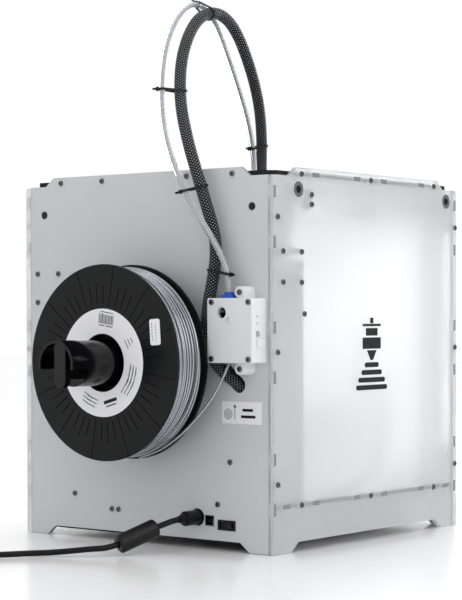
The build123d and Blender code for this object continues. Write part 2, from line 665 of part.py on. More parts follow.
with BuildPart() as y_cross_rod:
    bar(CROSS_ROD_R, (-rod_x, HEAD_Y, SHAFT_Y_Z), (rod_x, HEAD_Y, SHAFT_Y_Z))
save("y_cross_rod", y_cross_rod)

# ---------------------------------------------------------------- print head

HOT_X = HEAD_X + HOTEND_DX
HOT_Y = HEAD_Y + HOTEND_DY
GLAND_X = HEAD_X + GLAND_DX
GLAND_Y = HEAD_Y + GLAND_DY
BRACKET_LOW = HEAD_LOW - 36.0
SIDE_FAN_Z = FAN_LOW_Z + SIDE_FAN / 2
REAR_FAN_Z = REAR_FAN_LOW_Z + REAR_FAN / 2

with BuildPart() as head_body:
    cuboid(around(HEAD_X, HEAD_HALF_X), around(HEAD_Y, HEAD_HALF_Y), (HEAD_LOW, HEAD_TOP))
    fillet(head_body.edges().filter_by(Axis.Z), 3.0)
    for side in (-1, 1):
        plate = sorted((HEAD_X + side * (HEAD_HALF_X - 0.5), HEAD_X + side * (HEAD_HALF_X + BRACKET_T)))
        cuboid(tuple(plate), around(HEAD_Y, HEAD_HALF_Y), (BRACKET_LOW, SHAFT_Y_Z - CROSS_ROD_R - 1.5))
        start = (plate[0] - 1, HEAD_Y, SIDE_FAN_Z)
        bar(SIDE_FAN / 2 - 2.0, start, (plate[1] + 1, HEAD_Y, SIDE_FAN_Z), mode=Mode.SUBTRACT)
    back = (HEAD_Y + HEAD_HALF_Y - 0.5, HEAD_Y + HEAD_HALF_Y + BRACKET_T)
    cuboid(around(HEAD_X, HEAD_HALF_X - 2), back, (REAR_FAN_LOW_Z - 1, SHAFT_X_Z - CROSS_ROD_R - 1.5))
    start = (HEAD_X, back[0] - 1, REAR_FAN_Z)
    bar(REAR_FAN / 2 - 1.5, start, (HEAD_X, back[1] + 1, REAR_FAN_Z), mode=Mode.SUBTRACT)
    bar(7.0, (GLAND_X, GLAND_Y, HEAD_TOP), (GLAND_X, GLAND_Y, CORD_LAND_Z))
    bar(1.6, (HOT_X, HOT_Y, HEAD_LOW - 1), (HOT_X, HOT_Y, HEAD_TOP + 1), mode=Mode.SUBTRACT)
    reach = 40.0
    gap = CROSS_ROD_R + RUN_GAP
    bar(gap, (HEAD_X - reach, HEAD_Y, SHAFT_Y_Z), (HEAD_X + reach, HEAD_Y, SHAFT_Y_Z), mode=Mode.SUBTRACT)
    bar(gap, (HEAD_X, HEAD_Y - reach, SHAFT_X_Z), (HEAD_X, HEAD_Y + reach, SHAFT_X_Z), mode=Mode.SUBTRACT)
save("head_body", head_body)


def fan_frame(plane, side, thickness):
    """Square fan frame with a round duct, four screw holes and a hub held by three struts."""
    with BuildPart() as frame:
        with BuildSketch(plane):
            RectangleRounded(side, side, 2.0)
            Circle(side / 2 - 1.2, mode=Mode.SUBTRACT)
            with GridLocations(side - 5.0, side - 5.0, 2, 2):
                Circle(1.3, mode=Mode.SUBTRACT)
        extrude(amount=thickness)
        with BuildSketch(plane):
            Circle(side / 5)
            with PolarLocations(0, 3):
                with Locations((side / 4, 0)):
                    Rectangle(side / 2 - 0.5, 1.8)
        extrude(amount=1.2)
        with BuildSketch(plane):
            Circle(1.0)
        extrude(amount=thickness - 1.5)
    return frame.part


def fan_rotor(plane, side, thickness, name):
    """Fan rotor: a hub on the frame's pin with seven pitched blades."""
    hub = side / 5 - 0.3
    middle = thickness / 2 + 0.1
    with BuildPart(mode=Mode.PRIVATE) as blade:
        with BuildSketch(Plane(origin=(hub - 0.6, 0, middle), x_dir=(0, 1, 0), z_dir=(1, 0, 0))):
            with Locations(Location((0, 0, 0), 38)):
                Rectangle(0.8, (thickness - 3.2) * 1.1)
        extrude(amount=side / 2 - 1.9 - hub)
    with BuildPart(mode=Mode.PRIVATE) as wheel:
        with PolarLocations(0, 7):
            add(blade.part)
        bar(hub, (0, 0, 1.6), (0, 0, thickness - 0.8))
        bar(1.05, (0, 0, 1.0), (0, 0, thickness), mode=Mode.SUBTRACT)
    with BuildPart() as rotor:
        with Locations(Location(plane)):
            add(wheel.part)
    save(name, rotor)


FAN_OUT = HEAD_HALF_X + BRACKET_T
left_fan_plane = Plane(origin=(HEAD_X - FAN_OUT, HEAD_Y, SIDE_FAN_Z), x_dir=(0, 1, 0), z_dir=(-1, 0, 0))
right_fan_plane = Plane(origin=(HEAD_X + FAN_OUT, HEAD_Y, SIDE_FAN_Z), x_dir=(0, 1, 0), z_dir=(1, 0, 0))
rear_fan_plane = Plane(origin=(HEAD_X, back[1], REAR_FAN_Z), x_dir=(1, 0, 0), z_dir=(0, 1, 0))

with BuildPart() as head_fans:
    add(fan_frame(left_fan_plane, SIDE_FAN, SIDE_FAN_T))
    add(fan_frame(right_fan_plane, SIDE_FAN, SIDE_FAN_T))
    add(fan_frame(rear_fan_plane, REAR_FAN, REAR_FAN_T))
save("head_fans", head_fans)
fan_rotor(left_fan_plane, SIDE_FAN, SIDE_FAN_T, "left_fan_rotor")
fan_rotor(right_fan_plane, SIDE_FAN, SIDE_FAN_T, "right_fan_rotor")
fan_rotor(rear_fan_plane, REAR_FAN, REAR_FAN_T, "rear_fan_rotor")

BLOCK_TOP = HEAD_LOW - 24.0
NOZZLE_TOP = HEAD_LOW - 34.0

with BuildPart() as heat_sink:
    bar(3.0, (HOT_X, HOT_Y, BLOCK_TOP), (HOT_X, HOT_Y, HEAD_LOW))
    for step in range(5):
        z = HEAD_LOW - 19.0 + step * 4.0
        bar(7.0, (HOT_X, HOT_Y, z), (HOT_X, HOT_Y, z + 1.8))
    bar(1.6, (HOT_X, HOT_Y, BLOCK_TOP - 1), (HOT_X, HOT_Y, HEAD_LOW + 1), mode=Mode.SUBTRACT)
save("heat_sink", heat_sink)

with BuildPart() as heater_block:
    cuboid((HOT_X - 6, HOT_X + 12), (HOT_Y - 7, HOT_Y + 7), (NOZZLE_TOP, BLOCK_TOP))
    chamfer(heater_block.edges().filter_by(Axis.Z), 0.8)
    bar(1.6, (HOT_X, HOT_Y, NOZZLE_TOP - 1), (HOT_X, HOT_Y, BLOCK_TOP + 1), mode=Mode.SUBTRACT)
    heater_z = BLOCK_TOP - 5
    bar(3.0, (HOT_X + 7.5, HOT_Y - 8, heater_z), (HOT_X + 7.5, HOT_Y + 8, heater_z), mode=Mode.SUBTRACT)
save("heater_block", heater_block)

with BuildPart() as nozzle:
    with BuildSketch(Plane.XZ.offset(-HOT_Y)):
        with BuildLine():
            Polyline((HOT_X, NOZZLE_TOP), (HOT_X + 4, NOZZLE_TOP), (HOT_X + 4, NOZZLE_TIP_Z + 3.8),
                     (HOT_X + 0.8, NOZZLE_TIP_Z),
                     (HOT_X, NOZZLE_TIP_Z), close=True)
        make_face()
    revolve(axis=Axis((HOT_X, HOT_Y, 0), (0, 0, 1)))
save("nozzle", nozzle)

with BuildPart() as tube_coupling:
    bar(6.0, (HOT_X, HOT_Y, HEAD_TOP), (HOT_X, HOT_Y, CORD_LAND_Z - 6))
    bar(4.6, (HOT_X, HOT_Y, CORD_LAND_Z - 6), (HOT_X, HOT_Y, CORD_LAND_Z))
    bar(1.6, (HOT_X, HOT_Y, HEAD_TOP - 1), (HOT_X, HOT_Y, CORD_LAND_Z - 8), mode=Mode.SUBTRACT)
save("tube_coupling", tube_coupling)

# ---------------------------------------------------------------- bed and its lift

with BuildPart() as z_rods:
    for x in (-Z_ROD_X, Z_ROD_X):
        bar(Z_ROD_R, (x, Z_ROD_Y, FLOOR_PANEL_Z), (x, Z_ROD_Y, TOP_PLATE_Z + SHEET))
save("z_rods", z_rods)

with BuildPart() as leadscrew:
    bar(LEADSCREW_R, (0, SCREW_Y, FLOOR_TOP_Z + 2), (0, SCREW_Y, HEIGHT - 46.0))
    bar(MOTOR_SHAFT_R, (0, SCREW_Y, FLOOR_PANEL_Z - 5), (0, SCREW_Y, FLOOR_TOP_Z + 2))
save("leadscrew", leadscrew)

WING_Y = (-120.0, -96.0)
WING_X = 104.0
LEVEL_POINTS = ((0.0, 92.0), (-96.0, -108.0), (96.0, -108.0))
BUSH_R = 12.5
BUSH_TOP = STAGE_TOP + 18.0
ARM_DROP = 12.0
NUT_R = 10.0

with BuildPart() as z_stage:
    cuboid((-STAGE_HALF, STAGE_HALF), (WING_Y[0], Z_ROD_Y + 14.0), (STAGE_TOP - STAGE_T, STAGE_TOP))
    cuboid((-WING_X, WING_X), WING_Y, (STAGE_TOP - STAGE_T, STAGE_TOP))
    for side in (-1, 1):
        arm = tuple(sorted((side * STAGE_HALF, side * (STAGE_HALF - STAGE_T))))
        cuboid(arm, (WING_Y[0], Z_ROD_Y + 14.0), (STAGE_TOP - ARM_DROP, STAGE_TOP - STAGE_T))
        x = side * Z_ROD_X
        bar(BUSH_R, (x, Z_ROD_Y, STAGE_TOP - ARM_DROP), (x, Z_ROD_Y, BUSH_TOP))
    bar(NUT_R, (0, SCREW_Y, STAGE_TOP - ARM_DROP), (0, SCREW_Y, STAGE_TOP + 6))
    for side in (-1, 1):
        x = side * Z_ROD_X
        bar(Z_ROD_R + RUN_GAP, (x, Z_ROD_Y, STAGE_TOP - 30), (x, Z_ROD_Y, BUSH_TOP + 1), mode=Mode.SUBTRACT)
    bar(LEADSCREW_R + RUN_GAP, (0, SCREW_Y, STAGE_TOP - 30), (0, SCREW_Y, BUSH_TOP), mode=Mode.SUBTRACT)
    for x, y in LEVEL_POINTS:
        bar(SCREW_HOLE_R, (x, y, STAGE_TOP - 5), (x, y, STAGE_TOP + 1), mode=Mode.SUBTRACT)
save("z_stage", z_stage)

BED_X_LIMITS = around(BED_X, BED_WIDTH / 2)
BED_Y_LIMITS = around(BED_Y, BED_DEPTH / 2)

with BuildPart() as bed_plate:
    cuboid(BED_X_LIMITS, BED_Y_LIMITS, (BED_BOTTOM, GLASS_BOTTOM))
    fillet(bed_plate.edges().filter_by(Axis.Z), 5.0)
    for x, y in LEVEL_POINTS:
        bar(SCREW_HOLE_R, (x, y, BED_BOTTOM - 1), (x, y, GLASS_BOTTOM + 1), mode=Mode.SUBTRACT)
save("bed_plate", bed_plate)

with BuildPart() as glass_plate:
    cuboid(BED_X_LIMITS, BED_Y_LIMITS, (GLASS_BOTTOM, GLASS_TOP_Z))
    fillet(glass_plate.edges().filter_by(Axis.Z), 5.0)
save("glass_plate", glass_plate)

with BuildPart() as bed_hardware:
    for x, y in LEVEL_POINTS:
        bar(SCREW_R, (x, y, STAGE_TOP - 11.0), (x, y, GLASS_BOTTOM - 0.5))
        bar(7.0, (x, y, STAGE_TOP - 9.0), (x, y, STAGE_TOP - STAGE_T - 0.1))
        add(tube(4.2, 3.2, (x, y, STAGE_TOP + 0.2), (x, y, BED_BOTTOM - 0.2)))
    for x in BED_X_LIMITS:
        side = 1 if x > BED_X else -1
        for y in (BED_Y - 88.0, BED_Y + 88.0):
            outer = tuple(sorted((x + side * 0.2, x + side * 1.2)))
            cuboid(outer, around(y, 8.0), (BED_BOTTOM - 1.2, GLASS_TOP_Z - 0.5))
            lip = tuple(sorted((x - side * 7.0, x + side * 1.2)))
            cuboid(lip, around(y, 8.0), (BED_BOTTOM - 1.2, BED_BOTTOM - 0.2))
save("bed_hardware", bed_hardware)

# ---------------------------------------------------------------- electronics and controls

BOARD_Z = 20.0

with BuildPart() as control_electronics:
    cuboid((-135.0, -28.0), (70.0, BACK_IN - 14.0), (BOARD_Z, BOARD_Z + 1.6))
    for x in (-40.0, -60.0, -84.0):
        cuboid(around(x, 7.0), (90.0, 104.0), (BOARD_Z + 1.6, BOARD_Z + 10.0))
    cuboid((-66.0, -40.0), (110.0, 136.0), (BOARD_Z + 1.6, BOARD_Z + 4.0))
    display_y = (-BACK_IN + 0.3, -BACK_IN + 4.0)
    cuboid((DISPLAY_X[0] - 4, DISPLAY_X[1] + 4), display_y, (DISPLAY_Z[0] - 3, DISPLAY_Z[1] + 3))
    glass_y = (-BACK_OUT + 0.6, -BACK_IN + 0.3)
    cuboid((DISPLAY_X[0] + 0.3, DISPLAY_X[1] - 0.3), glass_y, (DISPLAY_Z[0] + 0.3, DISPLAY_Z[1] - 0.3))
    cuboid((CARD_X[0] + 1, CARD_X[1] - 1), (-BACK_IN + 0.3, -BACK_IN + 26.0), (CARD_Z[0] - 1, CARD_Z[1] + 1))
    cuboid(around(KNOB_XZ[0], 6.5), (-BACK_IN + 4.0, -BACK_IN + 11.0), around(KNOB_XZ[1], 6.5))
    bar(3.1, (KNOB_XZ[0], -BACK_IN + 3.0, KNOB_XZ[1]), (KNOB_XZ[0], -BACK_IN + 9.0, KNOB_XZ[1]),
        mode=Mode.SUBTRACT)
save("control_electronics", control_electronics)

with BuildPart() as rear_sockets:
    sx, sz = SOCKET_XZ
    add(tube(SOCKET_R - 0.2, SOCKET_R - 2.0, (sx, BACK_IN - 11.0, sz), (sx, BACK_OUT - 0.3, sz)))
    bar(SOCKET_R - 2.0, (sx, BACK_IN - 11.0, sz), (sx, BACK_IN - 8.0, sz))
    usb_x = (USB_X[0] + 0.2, USB_X[1] - 0.2)
    usb_z = (USB_Z[0] + 0.2, USB_Z[1] - 0.2)
    cuboid(usb_x, (BACK_IN - 12.0, BACK_OUT - 0.2), usb_z)
    cuboid((usb_x[0] + 1, usb_x[1] - 1), (BACK_IN - 6.0, BACK_OUT + 1), (usb_z[0] + 1, usb_z[1] - 1),
           mode=Mode.SUBTRACT)
    cuboid(around((USB_X[0] + USB_X[1]) / 2, 2.8), (BACK_IN - 6.0, BACK_OUT - 1.2),
           around((USB_Z[0] + USB_Z[1]) / 2, 1.6))
    rocker_x = (ROCKER_X[0] + 0.2, ROCKER_X[1] - 0.2)
    rocker_z = (ROCKER_Z[0] + 0.2, ROCKER_Z[1] - 0.2)
    cuboid(rocker_x, (BACK_IN - 12.0, BACK_OUT), rocker_z)
    cuboid((ROCKER_X[0] - 1.2, ROCKER_X[1] + 1.2), (BACK_OUT, BACK_OUT + 1.0),
           (ROCKER_Z[0] - 1.2, ROCKER_Z[1] + 1.2))
    cuboid((rocker_x[0] + 1, rocker_x[1] - 1), (BACK_IN - 8.0, BACK_OUT + 2),
           (rocker_z[0] + 0.8, rocker_z[1] - 0.8),
           mode=Mode.SUBTRACT)
save("rear_sockets", rear_sockets)

ROCKER_MID_X = (ROCKER_X[0] + ROCKER_X[1]) / 2
ROCKER_MID_Z = (ROCKER_Z[0] + ROCKER_Z[1]) / 2
ROCKER_Y = BACK_OUT - 2.0

with BuildPart() as rocker_switch:
    with BuildSketch(Plane.XY.offset(rocker_z[0] + 1.1)):
        with BuildLine():
            Polyline((ROCKER_MID_X - 7.6, ROCKER_Y - 1.0), (ROCKER_MID_X - 7.6, BACK_OUT + 2.4),
                     (ROCKER_MID_X, BACK_OUT + 0.6), (ROCKER_MID_X + 7.6, BACK_OUT + 0.2),
                     (ROCKER_MID_X + 7.6, ROCKER_Y - 1.0), (ROCKER_MID_X, ROCKER_Y - 3.4), close=True)
        make_face()
    extrude(amount=rocker_z[1] - rocker_z[0] - 2.2)
save("rocker_switch", rocker_switch)

KNOB_R = 15.0
KNOB_OUT = 15.0

with BuildPart() as knob_shaft:
    kx, kz = KNOB_XZ
    bar(3.0, (kx, -HALF_D - KNOB_OUT + 4.0, kz), (kx, -BACK_IN + 7.0, kz))
save("knob_shaft", knob_shaft)

with BuildPart() as control_knob:
    bar(KNOB_R, (kx, -HALF_D - KNOB_OUT, kz), (kx, -BACK_OUT - 2.2, kz))
    fillet(control_knob.edges().filter_by(GeomType.CIRCLE).sort_by(Axis.Y)[0], 1.5)
    bar(3.05, (kx, -HALF_D - KNOB_OUT + 3.9, kz), (kx, -BACK_IN, kz), mode=Mode.SUBTRACT)
save("control_knob", control_knob)

# ---------------------------------------------------------------- feeder

CAVITY_X = (FEEDER_X[0] + 8.5, FEEDER_X[1] - 4.5)
CAVITY_Z = (FEEDER_Z[0] + 8.0, FEEDER_Z[1] - 8.0)
CAVITY_REAR = BACK_OUT + 3.0
LEVER_PIVOT = (-114.5, 243.0)

with BuildPart() as feeder_body:
    cuboid(FEEDER_X, (BACK_OUT, FEEDER_FRONT), FEEDER_Z)
    fillet(feeder_body.edges().filter_by(Axis.Y), 2.5)
    for index, z in enumerate(LUG_Z):
        bar(LUG_R, (LUG_X, BACK_OUT, z), (LUG_X, LUG_FRONT, z))
        edge = FEEDER_Z[index]
        cuboid((LUG_X, LUG_X - LUG_R)[::-1], (BACK_OUT, LUG_FRONT), tuple(sorted((edge, z))))
        bar(SCREW_HOLE_R, (LUG_X, BACK_OUT - 1, z), (LUG_X, LUG_FRONT + 1, z), mode=Mode.SUBTRACT)
    cuboid((FEEDER_X[0] - 1.6, FEEDER_X[0] + 1), (BACK_OUT + 4.0, BACK_OUT + 16.0), (207.0, 216.0))
    cuboid(CAVITY_X, (CAVITY_REAR, FEEDER_FRONT + 1), CAVITY_Z, mode=Mode.SUBTRACT)
    with BuildSketch(Plane.XZ.offset(-BACK_OUT)):
        with BuildLine():
            Polyline((FEEDER_X[1] + 1, FEEDER_Z[0] - 1), (FEEDER_X[1] - 22.0, FEEDER_Z[0] - 1),
                     (FEEDER_X[1] + 1, FEEDER_Z[0] + 16.0), close=True)
        make_face()
    extrude(amount=-17.0, mode=Mode.SUBTRACT)
    start = (FILAMENT_X, FILAMENT_Y, FEEDER_Z[0] - 1)
    bar(FILAMENT_R + 0.3, start, (FILAMENT_X, FILAMENT_Y, FEEDER_Z[1] + 1), mode=Mode.SUBTRACT)
    bar(MOTOR_BOSS_R + FIT_GAP, (WHEEL_X, BACK_OUT - 1, WHEEL_Z), (WHEEL_X, CAVITY_REAR + 1, WHEEL_Z),
        mode=Mode.SUBTRACT)
    bar(1.5, (LEVER_PIVOT[0], BACK_OUT + 1, LEVER_PIVOT[1]),
        (LEVER_PIVOT[0], FEEDER_FRONT - 3, LEVER_PIVOT[1]))
    for z in (238.0, 231.0):
        start = (FEEDER_X[0] - 1, FEEDER_FRONT - 5.0, z)
        bar(1.1, start, (FEEDER_X[0] + 4, FEEDER_FRONT - 5.0, z), mode=Mode.SUBTRACT)
    start = (FEEDER_X[0] - 1, FEEDER_FRONT - 6.0, 220.5)
    bar(3.4, start, (FEEDER_X[0] + 4, FEEDER_FRONT - 6.0, 220.5), mode=Mode.SUBTRACT)
    for x, z in COVER_SCREWS:
        bar(SCREW_HOLE_R, (x, FEEDER_FRONT + 1, z), (x, FEEDER_FRONT - 10, z), mode=Mode.SUBTRACT)
save("feeder_body", feeder_body)

with BuildPart() as feeder_cover:
    cuboid(FEEDER_X, (FEEDER_FRONT, FEEDER_FRONT + COVER_T), FEEDER_Z)
    fillet(feeder_cover.edges().filter_by(Axis.Y), 2.5)
    fillet(feeder_cover.faces().sort_by(Axis.Y)[-1].edges(), 0.6)
    front = FEEDER_FRONT + COVER_T
    bar(5.6, (-124.0, FEEDER_FRONT - 1, 241.6), (-124.0, front + 1, 241.6), mode=Mode.SUBTRACT)
    bar(4.4, (BOSS_XZ[0], FEEDER_FRONT + 0.5, BOSS_XZ[1]), (BOSS_XZ[0], front + 0.5, BOSS_XZ[1]))
    bar(2.9, (BOSS_XZ[0], front - 1.5, BOSS_XZ[1]), (BOSS_XZ[0], front + 1, BOSS_XZ[1]), mode=Mode.SUBTRACT)
    for x, z in COVER_SCREWS:
        bar(SCREW_HOLE_R, (x, front + 1, z), (x, FEEDER_FRONT - 1, z), mode=Mode.SUBTRACT)
save("feeder_cover", feeder_cover)

with BuildPart() as feeder_wheel:
    bar(WHEEL_R, (WHEEL_X, FILAMENT_Y - 4.5, WHEEL_Z), (WHEEL_X, FILAMENT_Y + 4.5, WHEEL_Z))
    bar(MOTOR_SHAFT_R, (WHEEL_X, BACK_IN - 4.0, WHEEL_Z), (WHEEL_X, FILAMENT_Y - 4.5, WHEEL_Z))
save("feeder_wheel", feeder_wheel)

with BuildPart() as feeder_lever:
    arm_y = (CAVITY_REAR + 0.3, FILAMENT_Y - 4.8)
    px, pz = LEVER_PIVOT
    with BuildSketch(Plane.XZ.offset(-arm_y[1])):
        with BuildLine():
            Line((px, pz), (IDLER_X, WHEEL_Z))
        trace(line_width=0.5)
        offset(amount=2.6)
    extrude(amount=arm_y[1] - arm_y[0])
    bar(IDLER_R, (IDLER_X, FILAMENT_Y - 4.5, WHEEL_Z), (IDLER_X, FILAMENT_Y + 4.5, WHEEL_Z))
    bar(2.0, (IDLER_X, arm_y[0], WHEEL_Z), (IDLER_X, FILAMENT_Y, WHEEL_Z))
    bar(1.5 + RUN_GAP, (px, arm_y[0] - 1, pz), (px, arm_y[1] + 1, pz), mode=Mode.SUBTRACT)
save("feeder_lever", feeder_lever)

COLLET_H = 6.0
with BuildPart() as tube_collet:
    cuboid((FILAMENT_X - 7.5, FILAMENT_X + 7.5), (FILAMENT_Y - 6.0, FILAMENT_Y + 6.0),
           (FEEDER_Z[1], FEEDER_Z[1] + 3.4))
    fillet(tube_collet.edges().filter_by(Axis.Z), 2.0)
    bar(5.0, (FILAMENT_X, FILAMENT_Y, FEEDER_Z[1]), (FILAMENT_X, FILAMENT_Y, FEEDER_Z[1] + COLLET_H))
    bar(FILAMENT_R + 0.3, (FILAMENT_X, FILAMENT_Y, FEEDER_Z[1] - 1),
        (FILAMENT_X, FILAMENT_Y, FEEDER_Z[1] + 5.0),
        mode=Mode.SUBTRACT)
save("tube_collet", tube_collet)

# ---------------------------------------------------------------- reel and its holder

HUB_END = 288.0
LIP_END = 313.0

with BuildPart() as reel_holder:
    cuboid(around(REEL_X, 27.0), (BACK_OUT, BACK_OUT + 5.0), around(REEL_Z, 30.0))
    fillet(reel_holder.edges().filter_by(Axis.Y), 8.0)
    bar(HUB_R, (REEL_X, BACK_OUT + 5.0, REEL_Z), (REEL_X, HUB_END, REEL_Z))
    with BuildSketch(Plane.XZ.offset(-HUB_END)):
        with Locations((REEL_X, REEL_Z)):
            Circle(HUB_R + 0.6)
            Circle(HUB_R - 2.4, mode=Mode.SUBTRACT)
        with Locations((REEL_X, REEL_Z - HUB_R - 5.0)):
            Rectangle(3 * HUB_R, 2 * HUB_R, mode=Mode.SUBTRACT)
    extrude(amount=-(LIP_END - HUB_END))
    with BuildSketch(Plane.XZ.offset(-(LIP_END - 7.0))):
        with Locations(Location((REEL_X - 6.0, REEL_Z), 90)):
            SlotOverall(2 * HUB_R + 1.0, 15.0)
    extrude(amount=-7.0)
    cuboid(around(REEL_X - 6.0, 4.0), (HUB_END - 1.0, LIP_END - 6.0), around(REEL_Z, 15.0))
save("reel_holder", reel_holder)

REEL_FRONT_Y = REEL_REAR_Y + REEL_WIDTH

with BuildPart() as reel:
    bar(REEL_R, (REEL_X, REEL_REAR_Y, REEL_Z), (REEL_X, REEL_REAR_Y + FLANGE_T, REEL_Z))
    bar(REEL_CORE_R, (REEL_X, REEL_REAR_Y, REEL_Z), (REEL_X, REEL_FRONT_Y, REEL_Z))
    bar(REEL_R, (REEL_X, REEL_FRONT_Y - FLANGE_T, REEL_Z), (REEL_X, REEL_FRONT_Y, REEL_Z))
    for y in (REEL_REAR_Y, REEL_FRONT_Y):
        rim = reel.edges().filter_by(GeomType.CIRCLE).filter_by_position(Axis.Y, y - 0.1, y + 0.1)
        fillet(rim.sort_by(SortBy.RADIUS)[-1], 1.2)
    bar(REEL_BORE_R, (REEL_X, REEL_REAR_Y - 1, REEL_Z), (REEL_X, REEL_FRONT_Y + 1, REEL_Z),
        mode=Mode.SUBTRACT)
    with BuildSketch(Plane.XZ.offset(-REEL_FRONT_Y)):
        with Locations((REEL_X, REEL_Z)):
            with PolarLocations(0, 12, start_angle=9):
                with Locations((78.0, 0)):
                    Rectangle(42.0, 0.8)
            with PolarLocations(0, 12, start_angle=24):
                with Locations((71.0, 0)):
                    Rectangle(22.0, 0.9)
            with PolarLocations(0, 12, start_angle=17):
                with Locations((69.0, 0)):
                    Rectangle(18.0, 0.9)
            with PolarLocations(0, 12, start_angle=31):
                with Locations((69.0, 0)):
                    Rectangle(18.0, 0.9)
    extrude(amount=1.2, mode=Mode.SUBTRACT)
save("reel", reel)

with BuildPart() as filament_winding:
    start = (REEL_X, REEL_REAR_Y + FLANGE_T + 0.1, REEL_Z)
    add(tube(WINDING_R, REEL_CORE_R + 0.1, start, (REEL_X, REEL_FRONT_Y - FLANGE_T - 0.1, REEL_Z)))
save("filament_winding", filament_winding)

# ---------------------------------------------------------------- screws of the case and feeder

with BuildPart() as screw:
    bar(SCREW_HEAD_R, (0, 0, 0), (0, 0, SCREW_HEAD_H))
    fillet(screw.edges().filter_by(GeomType.CIRCLE).sort_by(Axis.Z)[-1], 1.0)
    with BuildSketch(Plane.XY.offset(SCREW_HEAD_H)):
        RegularPolygon(HEX_R, 6)
    extrude(amount=-1.1, mode=Mode.SUBTRACT)
    bar(SCREW_R, (0, 0, 0), (0, 0, -9.5))

all_screws = side_screws(-1) + side_screws(1) + back_screws() + front_screws() + feeder_screws()


def lever_cross(direction):
    """A direction square to the one given."""
    return (0, 0, 1) if abs(direction[2]) < 0.5 else (1, 0, 0)


with BuildPart() as screws:
    places = [Location(Plane(origin=point, x_dir=lever_cross(aim), z_dir=aim)) for point, aim in all_screws]
    with Locations(*places):
        add(screw.part)
    for a in (-MOTOR_STEP, MOTOR_STEP):
        for b in (-MOTOR_STEP, MOTOR_STEP):
            start = (-INNER_X + 0.1, my + a, mz + b)
            add(tube(SPACER_R, SCREW_HOLE_R, start, (X_MOTOR_FACE - 0.1, my + a, mz + b)))
            start = (mx + a, BACK_IN - 0.1, yz + b)
            add(tube(SPACER_R, SCREW_HOLE_R, start, (mx + a, Y_MOTOR_FACE + 0.1, yz + b)))
save("screws", screws)

# ---------------------------------------------------------------- cords


def cord(points, radius, name):
    """Round cord along straight runs joined by arcs as large as the runs allow."""
    corners = [Vector(*point) for point in points]
    radii = []
    for before, corner, after in zip(corners, corners[1:], corners[2:]):
        turn = (corner - before).get_angle(after - corner)
        run = min((corner - before).length, (after - corner).length)
        radii.append(0.45 * run / tan(radians(turn / 2)))
    with BuildPart() as piece:
        with BuildLine():
            route = FilletPolyline(*points, radius=radii)
        with BuildSketch(Plane(origin=route @ 0, z_dir=route % 0)):
            Circle(radius)
        sweep()
    print(name, "length", round(route.length, 1), "radii", [round(r) for r in radii])
    save(name, piece)


FEEDER_MOUTH = (FILAMENT_X, FILAMENT_Y, FEEDER_Z[1] + COLLET_H)

tube_route = [
    FEEDER_MOUTH, (FILAMENT_X, FILAMENT_Y, 277), (-119, 187, 299), (-106, 191.5, 322), (-88, 196, 349),
    (-71, 198, 380), (-55, 197, 416), (-42, 189, 450), (-31.5, 176.5, 483), (-23, 160, 519), (-18, 139, 549),
    (-15.8, 116, 567.5), (-15.2, 95, 571.3), (-14.3, 75.5, 563.5), (-13, 59, 545), (-11.5, 43, 522),
    (-9.7, 22, 489), (-9, 5, 456),
    (HOT_X - 1.5, -7, 426), (HOT_X, HOT_Y, 411), (HOT_X, HOT_Y, CORD_LAND_Z),
]
cord(tube_route, TUBE_R, "feed_tube")

sleeve_route = [
    (-131.5, 158, 161), (-121, 168, 171.5), (-109.5, 175.5, 182.5), (-100, 180, 197), (-95.5, 182, 214),
    (-95.5, 182.5, 233),
    (-98, 182.5, 252), (-103, 182, 274), (-106.5, 180.5, 297), (-105, 180.5, 321), (-96.5, 184, 351),
    (-86, 185, 381), (-69, 180, 416), (-48.5, 168, 458), (-34.5, 150.5, 502), (-28.5, 129, 537),
    (-26.5, 104.5, 559), (-26.5, 74, 564), (-27, 47, 548), (-24, 17, 507), (-18, -5, 471),
    (GLAND_X - 4.5, -20, 436), (GLAND_X, GLAND_Y, 414), (GLAND_X, GLAND_Y, CORD_LAND_Z),
]
cord(sleeve_route, SLEEVE_R, "cable_sleeve")

strand_route = [
    (-28, 209, 93.7), (-48, 208, 99.2), (-68.5, 206.5, 109.8), (-90, 204, 126.5), (-108, 197.5, 148),
    (-119, 190, 169), (FILAMENT_X, FILAMENT_Y, FEEDER_Z[0]),
]
cord(strand_route, FILAMENT_R, "filament_strand")

PLUG_END_Y = 200.0
with BuildPart() as power_plug:
    bar(6.4, (sx, BACK_IN - 7.5, sz), (sx, BACK_OUT + 1.5, sz))
    bar(7.6, (sx, BACK_OUT + 1.5, sz), (sx, BACK_OUT + 21.0, sz))
    fillet(power_plug.edges().filter_by(GeomType.CIRCLE).sort_by(Axis.Y)[-1], 1.5)
    with BuildSketch(Plane.XZ.offset(-(BACK_OUT + 20.0))):
        with Locations((sx, sz)):
            Circle(5.6)
    with BuildSketch(Plane.XZ.offset(-PLUG_END_Y)):
        with Locations((sx, sz)):
            Circle(LEAD_R + 0.5)
    loft()
save("power_plug", power_plug)

BEAD_START = Vector(-62.6, 223.3, 25.6)
BEAD_END = Vector(-46.4, 262.2, 10.4)
BEAD_R = 9.6
bead_axis = (BEAD_END - BEAD_START).normalized()

with BuildPart() as ferrite_bead:
    bar(BEAD_R, tuple(BEAD_START), tuple(BEAD_END))
    fillet(ferrite_bead.edges().filter_by(GeomType.CIRCLE), 3.0)
    bar(LEAD_R + 0.4, tuple(BEAD_START - bead_axis), tuple(BEAD_END + bead_axis), mode=Mode.SUBTRACT)
save("ferrite_bead", ferrite_bead)

COIL_CENTRE = (112.0, 412.0)
COIL_MEAN_R = 33.0
COIL_HALF = 2 * LEAD_R
COIL_HEIGHT = 4 * LEAD_R

